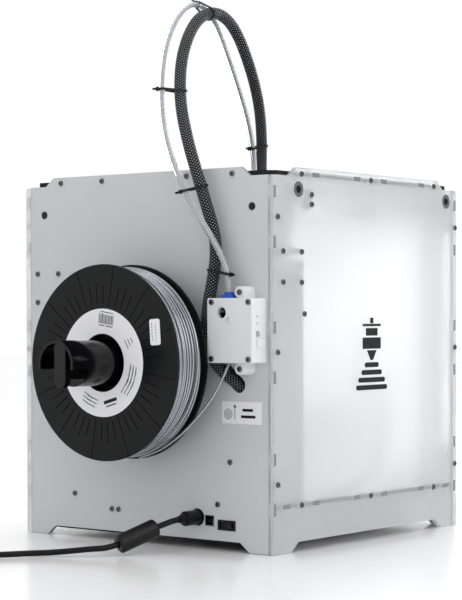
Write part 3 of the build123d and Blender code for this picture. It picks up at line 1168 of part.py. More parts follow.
lead_route = [
    (sx, PLUG_END_Y, sz), (-71.9, 207.6, 31.5), (-68.4, 215, 28.9), tuple(BEAD_START - bead_axis * 1),
    tuple(BEAD_END + bead_axis * 7), (-30, 286, 7.5), (-14, 297, 5.5), (3, 307, 3.6), (19, 322, 3.2),
    (31, 341, 3.1), (45, 359, 3.1), (65, 368, 3.1), (89, 369.7, 3.1), (112, 369.9, 3.1),
]
cord(lead_route, LEAD_R, "power_lead")

with BuildPart() as lead_coil:
    with BuildSketch(Plane.XY.offset(0.1)):
        with Locations(COIL_CENTRE):
            Circle(COIL_MEAN_R + COIL_HALF)
            Circle(COIL_MEAN_R - COIL_HALF, mode=Mode.SUBTRACT)
    extrude(amount=COIL_HEIGHT)
save("lead_coil", lead_coil)

SUPPLY_X = (112.0, 197.0)
SUPPLY_Y = (462.0, 630.0)
SUPPLY_HEIGHT = 40.0
RELIEF_X = COIL_CENTRE[0] + COIL_MEAN_R + COIL_HALF + 3.5
RELIEF_LENGTH = 32.0

with BuildPart() as power_supply:
    cuboid(SUPPLY_X, SUPPLY_Y, (0.0, SUPPLY_HEIGHT))
    fillet(power_supply.edges(), 5.0)
    with BuildSketch(Plane(origin=(RELIEF_X, SUPPLY_Y[0] + 1.0, 14.0), z_dir=(0, -1, 0))):
        Circle(6.5)
    with BuildSketch(Plane(origin=(RELIEF_X, SUPPLY_Y[0] - RELIEF_LENGTH, 10.0), z_dir=(0, -1, 0))):
        Circle(LEAD_R + 0.5)
    loft()
save("power_supply", power_supply)
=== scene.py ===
"""Looks of a desktop fdm printer: finishes, cords, wound filament, labels and cable ties round the frame.

Every length is in metres unless a name says millimetres; pieces that run between bodies, with their ties,
ride on no body, and the rest ride on a body of the frame.
"""

from __future__ import annotations

import json
import logging
import math
from dataclasses import dataclass, field, replace
from enum import Enum, auto
from typing import Iterable, Sequence

import bpy
from mathutils import Matrix, Vector

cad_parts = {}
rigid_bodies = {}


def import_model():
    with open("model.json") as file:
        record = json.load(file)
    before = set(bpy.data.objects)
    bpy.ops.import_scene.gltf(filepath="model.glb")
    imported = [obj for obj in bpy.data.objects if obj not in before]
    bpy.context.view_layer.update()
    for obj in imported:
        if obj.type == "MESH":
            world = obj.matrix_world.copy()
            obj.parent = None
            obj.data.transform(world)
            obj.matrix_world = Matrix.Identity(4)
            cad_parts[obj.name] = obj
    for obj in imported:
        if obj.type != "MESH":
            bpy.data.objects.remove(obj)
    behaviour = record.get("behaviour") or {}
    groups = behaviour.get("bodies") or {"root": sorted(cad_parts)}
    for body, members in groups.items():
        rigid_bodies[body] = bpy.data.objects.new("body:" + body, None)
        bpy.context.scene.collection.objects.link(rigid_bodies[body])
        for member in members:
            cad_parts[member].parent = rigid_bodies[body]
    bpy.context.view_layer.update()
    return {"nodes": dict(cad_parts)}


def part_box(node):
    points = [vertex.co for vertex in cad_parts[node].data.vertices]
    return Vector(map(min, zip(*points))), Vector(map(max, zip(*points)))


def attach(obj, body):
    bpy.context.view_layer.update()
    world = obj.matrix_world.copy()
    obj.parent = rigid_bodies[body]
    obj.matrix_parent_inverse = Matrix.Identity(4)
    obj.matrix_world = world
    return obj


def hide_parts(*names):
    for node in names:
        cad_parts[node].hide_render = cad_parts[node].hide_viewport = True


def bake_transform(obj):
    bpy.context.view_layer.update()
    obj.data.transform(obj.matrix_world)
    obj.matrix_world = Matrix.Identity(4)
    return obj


log = logging.getLogger("printer")
MM = 0.001
Point = tuple[float, float, float]
REEL_AXIS_X = -10.0
REEL_AXIS_Z = 191.0


# ------------------------------------------------------------------ finishes


class Pattern(Enum):
    """Surface pattern that a finish lays over its colour."""

    SATIN = auto()
    MOULDED = auto()
    BRUSHED = auto()
    BRAID = auto()
    FROSTED = auto()
    CLEAR = auto()


@dataclass(frozen=True)
class Finish:
    """Physical look of one real material.

    Attributes:
        name: Real material and its surface.
        colour: sRGB colour as six hexadecimal digits.
        roughness: Microfacet roughness.
        metallic: 1 for bare metal, 0 for the rest.
        ior: Refractive index.
        pattern: Pattern of the surface.
        pattern_mm: Size of the pattern's repeat, in millimetres.
        bump_mm: Height of the pattern, in millimetres.
        variation: Share by which the colour drifts over the surface.
        transmission: Share of light that passes through the body of the material.
        glow: Emission strength, for lamps.
        specular: Specular level, 0.5 for a plain dielectric.
        edge_and_gap_highlight_colour: sRGB colour of the cut edges of a coated sheet, or of the painted
            highlights in a braid's gaps, or empty.
        face_axis: Axis that the sheet's coated faces look along, 0 to 2.
        edge_beyond_mm: Distance either side of the middle past which alone the edge colour shows, or 0.
    """

    name: str
    colour: str
    roughness: float
    metallic: float = 0.0
    ior: float = 1.5
    pattern: Pattern = Pattern.MOULDED
    pattern_mm: float = 0.8
    bump_mm: float = 0.01
    variation: float = 0.06
    transmission: float = 0.0
    glow: float = 0.0
    specular: float = 0.5
    edge_and_gap_highlight_colour: str = ""
    face_axis: int = 1
    edge_beyond_mm: float = 0.0


# Milky: shapes behind it show only as blurs.
FROSTED_ACRYLIC = Finish("acrylic sheet, frosted", "F8F9FB", 0.6, ior=1.49, pattern=Pattern.FROSTED,
                         pattern_mm=0.6, transmission=0.72, variation=0.02)
# Calm grey face with a darker core at the cut edges.
COATED_SHEET = Finish("composite sheet, satin light grey", "C3C4C6", 0.4, pattern=Pattern.SATIN,
                      pattern_mm=0.5, bump_mm=0.004, variation=0.03, edge_and_gap_highlight_colour="7C7E82")
COATED_FLOOR = replace(COATED_SHEET, name="composite sheet, satin light grey, laid flat", face_axis=2)
BLACK_SHEET = Finish("composite sheet, matt black", "111113", 0.6, pattern=Pattern.SATIN, pattern_mm=0.5,
                     specular=0.25, edge_and_gap_highlight_colour="7A7B7F", face_axis=2, edge_beyond_mm=170.5)
# Fine orange-peel skin that breaks up highlights.
POWDER_COAT = Finish("steel, black powder coat", "17171A", 0.5, pattern_mm=0.45, bump_mm=0.03, specular=0.3)
ANODISED_BLACK = Finish("aluminium, black anodised", "1D1D20", 0.38, metallic=0.4, pattern=Pattern.BRUSHED)
# Soft, even sheen.
WHITE_MOULDING = Finish("moulded plastic, satin white", "D9DADC", 0.38, pattern_mm=0.7, bump_mm=0.006)
BLACK_MOULDING = Finish("moulded plastic, satin black", "0E0E10", 0.4, pattern_mm=0.7, specular=0.25)
GLOSS_BLACK = Finish("moulded plastic, gloss black", "070709", 0.14, pattern_mm=4.0, bump_mm=0.004,
                     specular=0.3)
# Deep black with a faint mottle.
REEL_PLASTIC = Finish("polystyrene, charcoal", "0D0E10", 0.3, pattern_mm=1.2, bump_mm=0.006, variation=0.12,
                      specular=0.18)
BLUE_CLIP = Finish("moulded plastic, blue", "1C54B4", 0.3, pattern_mm=1.0, bump_mm=0.004)
# Streaked by the grinding along its length.
GROUND_STEEL = Finish("steel, ground", "C3C5C9", 0.22, metallic=1.0, pattern=Pattern.BRUSHED, pattern_mm=0.4)
SCREW_STEEL = Finish("steel, dark zinc screw", "5E5F63", 0.24, metallic=1.0, pattern_mm=0.5)
BEARING_STEEL = Finish("bearing steel, oiled", "6C6D71", 0.28, metallic=1.0, pattern_mm=0.5)
BARE_ALUMINIUM = Finish("aluminium, machined", "C9CBCF", 0.3, metallic=1.0, pattern=Pattern.BRUSHED)
BRASS = Finish("brass, turned", "C6A15C", 0.25, metallic=1.0, pattern=Pattern.BRUSHED)
MOTOR_PAINT = Finish("motor casing, black enamel", "1A1A1D", 0.4, pattern=Pattern.BRUSHED, pattern_mm=0.5)
CIRCUIT_BOARD = Finish("circuit board, green lacquer", "1F5A38", 0.3, pattern_mm=1.5, variation=0.2)
# Nearly invisible, with a slight green cast.
BED_GLASS = Finish("float glass, clear", "E2F1EC", 0.03, ior=1.52, pattern=Pattern.CLEAR, pattern_mm=30.0,
                   bump_mm=0.0, variation=0.02, transmission=0.95)
# Dull black that gives no highlight.
BELT_RUBBER = Finish("rubber belt, matt", "131314", 0.7, pattern_mm=2.0, bump_mm=0.1, specular=0.25)
LEAD_RUBBER = Finish("lead jacket, smooth black vinyl", "08080A", 0.34, pattern_mm=2.0, bump_mm=0.02,
                     specular=0.2)
# Crossed yarns, drawn coarser than real ones so that they show, with painted highlights in the gaps between
# them.
BRAIDED_SLEEVE = Finish("polyester sleeve, braided black, painted gap highlights", "060607", 0.4, pattern=Pattern.BRAID,
                        pattern_mm=3.2, bump_mm=0.3, specular=0.15, edge_and_gap_highlight_colour="A4A6AC")
CABLE_GREY = Finish("cable jacket, grey vinyl", "8B8D92", 0.5, pattern_mm=1.5, bump_mm=0.02)
# Milky wall with the silver filament as its core.
TUBE_FEP = Finish("fluoropolymer tube, milky", "EEF0F4", 0.1, ior=1.35, pattern=Pattern.CLEAR,
                  pattern_mm=12.0, bump_mm=0.0, variation=0.03, transmission=0.75)
# Bright streak on every turn.
SILVER_FILAMENT = Finish("filament, pearly silver", "9DA0A6", 0.24, metallic=0.85, pattern_mm=0.6,
                         bump_mm=0.004)
# Darker, duller copy of the silver filament: painted shade for the turns deep in the winding.
SHADED_FILAMENT = Finish("filament, pearly silver, painted shade deep in the winding", "4A4C51", 0.35, metallic=0.6,
                         pattern_mm=0.6, bump_mm=0.004)
# Flat and matt, with ink that sits on it.
PAPER_LABEL = Finish("paper label, coated white", "E4E4E6", 0.5, pattern_mm=0.3, bump_mm=0.003,
                     variation=0.02)
PRINT_INK = Finish("printing ink, black", "08080A", 0.5, pattern_mm=0.3, bump_mm=0.002,
                   specular=0.25)
FAINT_INK = Finish("printing ink, grey", "6D6E73", 0.5, pattern_mm=0.3, bump_mm=0.002)
# Faint glow behind the frosted side.
LAMP_STRIP = Finish("light strip, white diffuser", "FFFFFF", 0.4, glow=0.9)
FLOOR_WHITE = Finish("photographic sweep, white gloss", "F3F3F4", 0.18, pattern=Pattern.SATIN,
                     pattern_mm=40.0, bump_mm=0.0, variation=0.0)


def srgb_to_linear(colour: str) -> tuple[float, float, float, float]:
    """Turn a hexadecimal sRGB colour into linear light.

    Args:
        colour: Six hexadecimal digits.

    Returns:
        Red, green, blue and an alpha of 1.
    """
    parts = [int(colour[i:i + 2], 16) / 255 for i in (0, 2, 4)]
    red, green, blue = (c / 12.92 if c <= 0.04045 else ((c + 0.055) / 1.055) ** 2.4 for c in parts)
    return red, green, blue, 1.0


def add_node(tree: bpy.types.NodeTree, kind: str, values: dict | None = None, links: dict | None = None,
             **settings: object) -> bpy.types.Node:
    """Add one shader node.

    Args:
        tree: Tree that gets the node.
        kind: Blender's type name of the node.
        values: Input values by socket name or index.
        links: Output sockets that feed the inputs, by socket name or index.
        settings: Attributes of the node itself.

    Returns:
        The new node.
    """
    node = tree.nodes.new(kind)
    for name, value in settings.items():
        setattr(node, name, value)
    for key, value in (values or {}).items():
        node.inputs[key].default_value = value
    for key, socket in (links or {}).items():
        tree.links.new(socket, node.inputs[key])
    return node


class MaterialLibrary:
    """Builds each finish's material once and hands it out by name."""

    def __init__(self) -> None:
        """Start with no material made."""
        self._made: dict[str, bpy.types.Material] = {}

    def get(self, finish: Finish) -> bpy.types.Material:
        """Return the material of a finish.

        Args:
            finish: The finish wanted.

        Returns:
            The material, built the first time it is asked for.
        """
        if finish.name not in self._made:
            self._made[finish.name] = self._build(finish)
        return self._made[finish.name]

    def _build(self, finish: Finish) -> bpy.types.Material:
        """Make a finish's material: its plain values first, then its pattern."""
        material = bpy.data.materials.new(finish.name)
        material.use_nodes = True
        tree = material.node_tree
        shader = tree.nodes["Principled BSDF"]
        base = srgb_to_linear(finish.colour)
        for name, value in {"Metallic": finish.metallic, "IOR": finish.ior, "Roughness": finish.roughness,
                            "Transmission Weight": finish.transmission,
                            "Specular IOR Level": finish.specular, "Base Color": base}.items():
            shader.inputs[name].default_value = value
        if finish.glow:
            shader.inputs["Emission Color"].default_value = base
            shader.inputs["Emission Strength"].default_value = finish.glow
        if finish.pattern is Pattern.BRAID:
            self._braid(tree, shader, finish)
        else:
            self._grain(tree, shader, finish)
        return material

    def _grain(self, tree: bpy.types.NodeTree, shader: bpy.types.Node, finish: Finish) -> None:
        """Fine grain in the bump, with a broad drift in colour and roughness."""
        place = add_node(tree, "ShaderNodeTexCoord").outputs["Object"]
        if finish.pattern is Pattern.BRUSHED:
            place = add_node(tree, "ShaderNodeMapping", {"Scale": (1.0, 1.0, 0.08)},
                             {"Vector": place}).outputs[0]
        fine = add_node(tree, "ShaderNodeTexNoise", {"Scale": 1 / (finish.pattern_mm * MM), "Detail": 2.0},
                        {"Vector": place})
        broad = add_node(tree, "ShaderNodeTexNoise", {"Scale": 22.0, "Detail": 3.0}, {"Vector": place})
        base = srgb_to_linear(finish.colour)
        low = tuple(c * (1 - finish.variation) for c in base[:3]) + (1.0,)
        high = tuple(min(1.0, c * (1 + finish.variation)) for c in base[:3]) + (1.0,)
        colour = add_node(tree, "ShaderNodeMix", {6: low, 7: high}, {0: broad.outputs[0]}, data_type="RGBA")
        face = colour.outputs[2]
        if finish.edge_and_gap_highlight_colour:
            face = self._cut_edges(tree, finish, face)
        tree.links.new(face, shader.inputs["Base Color"])
        spread = add_node(tree, "ShaderNodeMapRange", {"To Min": finish.roughness * 0.88,
                                                       "To Max": min(1.0, finish.roughness * 1.14)},
                          {"Value": fine.outputs[0]})
        tree.links.new(spread.outputs[0], shader.inputs["Roughness"])
        if finish.bump_mm:
            bump = add_node(tree, "ShaderNodeBump", {"Strength": 0.6, "Distance": finish.bump_mm * MM},
                            {"Height": fine.outputs[0]})
            tree.links.new(bump.outputs[0], shader.inputs["Normal"])

    def _cut_edges(self, tree: bpy.types.NodeTree, finish: Finish,
                   face: bpy.types.NodeSocket) -> bpy.types.NodeSocket:
        """Show the sheet's core on its cut edges, or only on the tab ends where the finish says so."""
        if finish.edge_beyond_mm:
            place = add_node(tree, "ShaderNodeSeparateXYZ",
                             links={0: add_node(tree, "ShaderNodeTexCoord").outputs["Object"]})
            away = add_node(tree, "ShaderNodeMath", links={0: place.outputs[0]}, operation="ABSOLUTE")
            inside = add_node(tree, "ShaderNodeMath", {1: finish.edge_beyond_mm * MM}, {0: away.outputs[0]},
                              operation="LESS_THAN")
            ends = add_node(tree, "ShaderNodeMix", {6: srgb_to_linear(finish.edge_and_gap_highlight_colour)},
                            {0: inside.outputs[0], 7: face}, data_type="RGBA")
            return ends.outputs[2]
        split = add_node(tree, "ShaderNodeSeparateXYZ",
                         links={0: add_node(tree, "ShaderNodeTexCoord").outputs["Normal"]})
        along = add_node(tree, "ShaderNodeMath", links={0: split.outputs[finish.face_axis]},
                         operation="ABSOLUTE")
        flat = add_node(tree, "ShaderNodeMath", {1: 0.7}, {0: along.outputs[0]}, operation="GREATER_THAN")
        mixed = add_node(tree, "ShaderNodeMix", {6: srgb_to_linear(finish.edge_and_gap_highlight_colour)},
                         {0: flat.outputs[0], 7: face}, data_type="RGBA")
        return mixed.outputs[2]

    def _braid(self, tree: bpy.types.NodeTree, shader: bpy.types.Node, finish: Finish) -> None:
        """Crossed yarns laid from the tube's own map: length along it in metres, then its share round it.
        The gaps between the yarns get a light colour as painted highlights.
        """
        split = add_node(tree, "ShaderNodeSeparateXYZ",
                         links={0: add_node(tree, "ShaderNodeUVMap").outputs[0]})
        along = add_node(tree, "ShaderNodeMath", {1: 2 * math.pi / (finish.pattern_mm * MM)},
                         {0: split.outputs[0]}, operation="MULTIPLY").outputs[0]
        round_it = add_node(tree, "ShaderNodeMath", {1: 2 * math.pi * 9}, {0: split.outputs[1]},
                            operation="MULTIPLY").outputs[0]
        waves = []
        for operation in ("ADD", "SUBTRACT"):
            phase = add_node(tree, "ShaderNodeMath", links={0: along, 1: round_it}, operation=operation)
            waves.append(add_node(tree, "ShaderNodeMath", links={0: phase.outputs[0]},
                                  operation="SINE").outputs[0])
        height = add_node(tree, "ShaderNodeMath", links={0: waves[0], 1: waves[1]}, operation="MAXIMUM")
        # Painted highlights: the light colour fills the gaps between the yarns.
        gap_highlight = add_node(tree, "ShaderNodeMapRange", {"From Min": -0.25, "From Max": -0.6},
                       {"Value": height.outputs[0]})
        colour = add_node(tree, "ShaderNodeMix",
                          {6: srgb_to_linear(finish.colour), 7: srgb_to_linear(finish.edge_and_gap_highlight_colour)},
                          {0: gap_highlight.outputs[0]}, data_type="RGBA")
        tree.links.new(colour.outputs[2], shader.inputs["Base Color"])
        bump = add_node(tree, "ShaderNodeBump", {"Strength": 0.9, "Distance": finish.bump_mm * MM},
                        {"Height": height.outputs[0]})
        tree.links.new(bump.outputs[0], shader.inputs["Normal"])


# ------------------------------------------------------------------ meshes


@dataclass
class MeshDraft:
    """Vertices and faces of a piece under construction, in the row frame."""

    vertices: list[Vector] = field(default_factory=list)
    faces: list[tuple[int, ...]] = field(default_factory=list)
    coordinates: list[list[tuple[float, float]]] = field(default_factory=list)

    def add(self, vertices: Iterable[Vector], faces: Iterable[Sequence[int]],
            coordinates: Iterable[list[tuple[float, float]]] | None = None) -> None:
        """Append a set of vertices and the faces that use them.

        Args:
            vertices: New vertices.
            faces: Faces as indices into the new vertices.
            coordinates: Map coordinates for each face's corners.
        """
        start = len(self.vertices)
        self.vertices.extend(vertices)
        faces = [tuple(i + start for i in face) for face in faces]
        self.faces.extend(faces)
        self.coordinates.extend(coordinates or [[(0.0, 0.0)] * len(face) for face in faces])

    def tube(self, path: Sequence[Vector], radius: float, sides: int = 16, closed: bool = False) -> None:
        """Sweep a circle along a path.

        Args:
            path: Centre line.
            radius: Radius of the tube.
            sides: Sides of its section.
            closed: Whether the path's end joins its start.
        """
        count = len(path)
        tangents = []
        for i in range(count):
            before = path[(i - 1) % count] if closed or i else path[0]
            after = path[(i + 1) % count] if closed or i < count - 1 else path[-1]
            tangents.append((after - before).normalized())
        side = tangents[0].orthogonal().normalized()
        rings, length, lengths = [], 0.0, []
        for i, tangent in enumerate(tangents):
            side = (side - tangent * side.dot(tangent)).normalized()
            up = tangent.cross(side)
            length += (path[i] - path[i - 1]).length if i else 0.0
            lengths.append(length)
            rings.append([path[i] + (side * math.cos(a) + up * math.sin(a)) * radius
                          for a in (2 * math.pi * k / sides for k in range(sides))])
        faces, mapped = [], []
        for i in range(count if closed else count - 1):
            j = (i + 1) % count
            for k in range(sides):
                n = (k + 1) % sides
                faces.append((i * sides + k, i * sides + n, j * sides + n, j * sides + k))
                far = lengths[j] if j else length + (path[0] - path[-1]).length
                mapped.append([(lengths[i], k / sides), (lengths[i], (k + 1) / sides),
                               (far, (k + 1) / sides),
                               (far, k / sides)])
        if not closed:
            for first in (0, (count - 1) * sides):
                faces.append(tuple(range(first, first + sides)))
                mapped.append([(0.0, 0.0)] * sides)
        self.add([v for ring in rings for v in ring], faces, mapped)

    def prism(self, outline: Sequence[Vector], depth: Vector) -> None:
        """Extrude a flat outline.

        Args:
            outline: Corners of the flat face, in order.
            depth: Vector from that face to the opposite one.
        """
        n = len(outline)
        sides = [(i, (i + 1) % n, (i + 1) % n + n, i + n) for i in range(n)]
        self.add([*outline, *[p + depth for p in outline]],
                 [tuple(range(n))[::-1], tuple(range(n, 2 * n)), *sides])

    def ring(self, centre: Vector, right: Vector, up: Vector, radii: tuple[float, float], depth: Vector,
             arc: tuple[float, float] = (0.0, 360.0)) -> None:
        """Extrude a flat ring or part of one.

        Args:
            centre: Centre of the ring.
            right: Direction of angle 0.
            up: Direction of angle 90 degrees.
            radii: Inner and outer radius.
            depth: Vector from the face to the opposite one.
            arc: First and last angle in degrees.
        """
        steps = max(6, int(abs(arc[1] - arc[0]) / 6))
        for i in range(steps):
            a, b = (math.radians(arc[0] + (arc[1] - arc[0]) * k / steps) for k in (i, i + 1))
            corners = [(radii[0], a), (radii[1], a), (radii[1], b), (radii[0], b)]
            self.prism([centre + (right * math.cos(t) + up * math.sin(t)) * r for r, t in corners], depth)

    def finish(self, name: str, smooth: bool = True) -> bpy.types.Object:
        """Turn the draft into an object in the scene.

        Args:
            name: Name of the piece.
            smooth: Whether its faces shade smoothly.

        Returns:
            The new object.
        """
        mesh = bpy.data.meshes.new(name)
        mesh.from_pydata(self.vertices, [], self.faces)
        layer = mesh.uv_layers.new(name="UVMap")
        flat = [uv for face in self.coordinates for uv in face]
        for loop, uv in zip(layer.data, flat):
            loop.uv = uv
        mesh.validate()
        if smooth:
            mesh.shade_smooth()
        piece = bpy.data.objects.new(name, mesh)
        bpy.context.scene.collection.objects.link(piece)
        return piece


def points_of(route: Iterable[Sequence[float]]) -> list[Vector]:
    """Turn a route in millimetres into points in metres."""
    return [Vector(p) * MM for p in route]


def spline_curve(name: str, route: Sequence[Vector], radius: float = 0.0) -> bpy.types.Object:
    """Make a smooth curve that follows control points.

    Args:
        name: Name of the curve.
        route: Control points.
        radius: Radius of its round section, or 0 for a bare line.

    Returns:
        The curve object, linked to the scene.
    """
    data = bpy.data.curves.new(name, "CURVE")
    data.dimensions = "3D"
    spline = data.splines.new("NURBS")
    spline.points.add(len(route) - 1)
    for target, point in zip(spline.points, route):
        target.co = (*point, 1.0)
    spline.order_u = 3
    spline.use_endpoint_u = True
    spline.resolution_u = 10
    data.bevel_depth = radius
    data.bevel_resolution = 5
    data.use_fill_caps = True
    curve = bpy.data.objects.new(name, data)
    bpy.context.scene.collection.objects.link(curve)
    return curve


def centre_line(route: Sequence[Vector]) -> list[Vector]:
    """Read the points along a route's smooth curve.

    Args:
        route: Control points.

    Returns:
        Points along the curve, in order.
    """
    curve = spline_curve("route", route)
    bpy.context.view_layer.update()
    mesh = bpy.data.meshes.new_from_object(curve)
    line = [v.co.copy() for v in mesh.vertices]
    bpy.data.objects.remove(curve)
    bpy.data.meshes.remove(mesh)
    return line


def length_of(line: Sequence[Vector]) -> float:
    """Length of a line of points."""
    return sum((b - a).length for a, b in zip(line, line[1:]))


# ------------------------------------------------------------------ sub-assemblies


class SubAssembly:
    """A group of pieces that share a material library."""

    def __init__(self, library: MaterialLibrary) -> None:
        """Keep the library that the pieces are dressed from."""
        self.library = library

    def dress(self, piece: bpy.types.Object, finish: Finish, slot: str,
              body: str | None = None) -> bpy.types.Object:
        """Give a new piece its material and the body it rides on.

        Args:
            piece: The new piece.
            finish: Its finish.
            slot: The record's material slot it belongs to; not used.
            body: The body it rides on, or None where it runs between bodies.

        Returns:
            The piece.
        """
        piece.data.materials.clear()
        piece.data.materials.append(self.library.get(finish))
        if body:
            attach(piece, body)
        log.info("piece %s: %s", piece.name, finish.name)
        return piece


NODE_FINISHES: dict[str, Finish] = {
    "left_panel": FROSTED_ACRYLIC, "right_panel": FROSTED_ACRYLIC, "back_panel": COATED_SHEET,
    "front_panel": COATED_SHEET, "floor_panel": COATED_FLOOR, "top_plate": BLACK_SHEET,
    "electronics_cover": POWDER_COAT, "corner_covers": COATED_SHEET, "screws": SCREW_STEEL,
    "shaft_bearings": BEARING_STEEL, "long_belts": BELT_RUBBER, "short_belts": BELT_RUBBER,
    "axis_motors": MOTOR_PAINT, "feeder_motor": MOTOR_PAINT, "z_rods": GROUND_STEEL,
    "control_electronics": CIRCUIT_BOARD, "rear_sockets": BLACK_MOULDING, "feeder_body": WHITE_MOULDING,
    "feeder_cover": WHITE_MOULDING, "tube_collet": BLUE_CLIP, "reel_holder": GLOSS_BLACK,
    "x_blocks": BLACK_MOULDING, "x_cross_rod": GROUND_STEEL, "y_blocks": BLACK_MOULDING,
    "y_cross_rod": GROUND_STEEL, "head_body": ANODISED_BLACK, "head_fans": BLACK_MOULDING,
    "left_fan_rotor": BLACK_MOULDING, "right_fan_rotor": BLACK_MOULDING, "rear_fan_rotor": BLACK_MOULDING,
    "heat_sink": BARE_ALUMINIUM, "heater_block": BARE_ALUMINIUM, "nozzle": BRASS,
    "tube_coupling": WHITE_MOULDING, "front_shaft": GROUND_STEEL, "rear_shaft": GROUND_STEEL,
    "left_shaft": GROUND_STEEL, "right_shaft": GROUND_STEEL, "rear_shaft_drive": GROUND_STEEL,
    "right_shaft_drive": GROUND_STEEL, "z_stage": POWDER_COAT, "bed_plate": BARE_ALUMINIUM,
    "glass_plate": BED_GLASS, "bed_hardware": GROUND_STEEL, "leadscrew": GROUND_STEEL,
    "feeder_wheel": GROUND_STEEL, "feeder_lever": BLACK_MOULDING, "knob_shaft": GROUND_STEEL,
    "control_knob": BARE_ALUMINIUM, "rocker_switch": BLACK_MOULDING, "reel": REEL_PLASTIC,
    "power_plug": LEAD_RUBBER, "ferrite_bead": BLACK_MOULDING, "power_supply": BLACK_MOULDING,
}


class CadFinishes(SubAssembly):
    """Gives every shown frame node the material of its real finish."""

    def build(self, nodes: dict[str, bpy.types.Object]) -> None:
        """Dress the nodes.

        Args:
            nodes: The frame's nodes by name.
        """
        for name, finish in NODE_FINISHES.items():
            node = nodes[name]
            if not node.material_slots:
                node.data.materials.append(None)
            for place in node.material_slots:
                place.material = self.library.get(finish)
            log.info("node %s: %s", name, finish.name)


@dataclass(frozen=True)
class CordSizes:
    """Routes and radii of the cords, in millimetres."""

    tube_radius: float = 3.175
    sleeve_radius: float = 6.2
    strand_radius: float = 1.43
    lead_radius: float = 3.0
    coil_centre: tuple[float, float] = (112.0, 412.0)
    coil_radii: tuple[float, ...] = (36.0, 30.0, 30.0, 36.0)
    coil_heights: tuple[float, ...] = (3.1, 3.1, 9.2, 9.2)
    coil_steps: int = 16
    entry_offset: float = 6.1
    bed_cable_radius: float = 2.4
    bed_cable_route: tuple[Point, ...] = (
        (-146.0, 96, 53.0), (-148.5, 66, 53.0), (-151.0, 38, 54.5), (-152.0, 8, 58.5), (-152.0, -24, 70.0),
        (-151.5, -47, 88.0), (-150.5, -58, 109.0), (-149.0, -58, 127.0), (-144.0, -50, 139.0),
        (-136.5, -40, 143.0))
    ties: tuple[tuple[int, float, bool], ...] = (
        (0, 281.0, True), (0, 364.0, True), (0, 473.0, True), (0, 572.0, False), (1, 424.0, True))
    free_height: float = 300.0
    tie_facing: Point = (0.611, -0.792, 0.0)
    tube_route: tuple[Point, ...] = (
        (-125.5, 183, 262.2), (-125.5, 183, 277), (-119, 187, 299), (-106, 191.5, 322), (-88, 196, 349),
        (-71, 198, 380), (-55, 197, 416), (-42, 189, 450), (-31.5, 176.5, 483), (-23, 160, 519),
        (-18, 139, 549), (-15.8, 116, 567.5), (-15.2, 95, 571.3), (-14.3, 75.5, 563.5), (-13, 59, 545),
        (-11.5, 43, 522), (-9.7, 22, 489), (-9, 5, 456), (-6.5, -7, 426), (-5, -11.5, 411),
        (-5, -11.5, 398))
    sleeve_route: tuple[Point, ...] = (
        (-131.5, 158, 161), (-121, 168, 171.5), (-109.5, 175.5, 182.5), (-100, 180, 197),
        (-95.5, 182, 214), (-95.5, 182.5, 233), (-98, 182.5, 252), (-103, 182, 274), (-106.5, 180.5, 297),
        (-105, 180.5, 321), (-96.5, 184, 351), (-86, 185, 381), (-69, 180, 416), (-48.5, 168, 458),
        (-34.5, 150.5, 502), (-28.5, 129, 537), (-26.5, 104.5, 559), (-26.5, 74, 564), (-27, 47, 548),
        (-24, 17, 507), (-18, -5, 471), (-9.5, -20, 436), (-5, -25, 414), (-5, -25, 398))
    strand_route: tuple[Point, ...] = (
        (-28, 209, 93.7), (-48, 208, 99.2), (-68.5, 206.5, 109.8), (-90, 204, 126.5), (-108, 197.5, 148),
        (-119, 190, 169), (-125.5, 183, 191.4))
    lead_route: tuple[Point, ...] = (
        (-72.5, 200, 32), (-71.9, 207.6, 31.5), (-68.4, 215, 28.9), (-62.96, 222.43, 25.94),
        (-43.87, 268.28, 8.03), (-30, 286, 7.5), (-14, 297, 5.5), (3, 307, 3.6), (19, 322, 3.2),
        (31, 341, 3.1), (45, 359, 3.1), (65, 368, 3.1), (89, 369.7, 3.1), (112, 369.9, 3.1))
    lead_tail: tuple[Point, ...] = ((150.5, 420, 9.4), (154.0, 427, 9.9), (154.5, 430, 10.0))


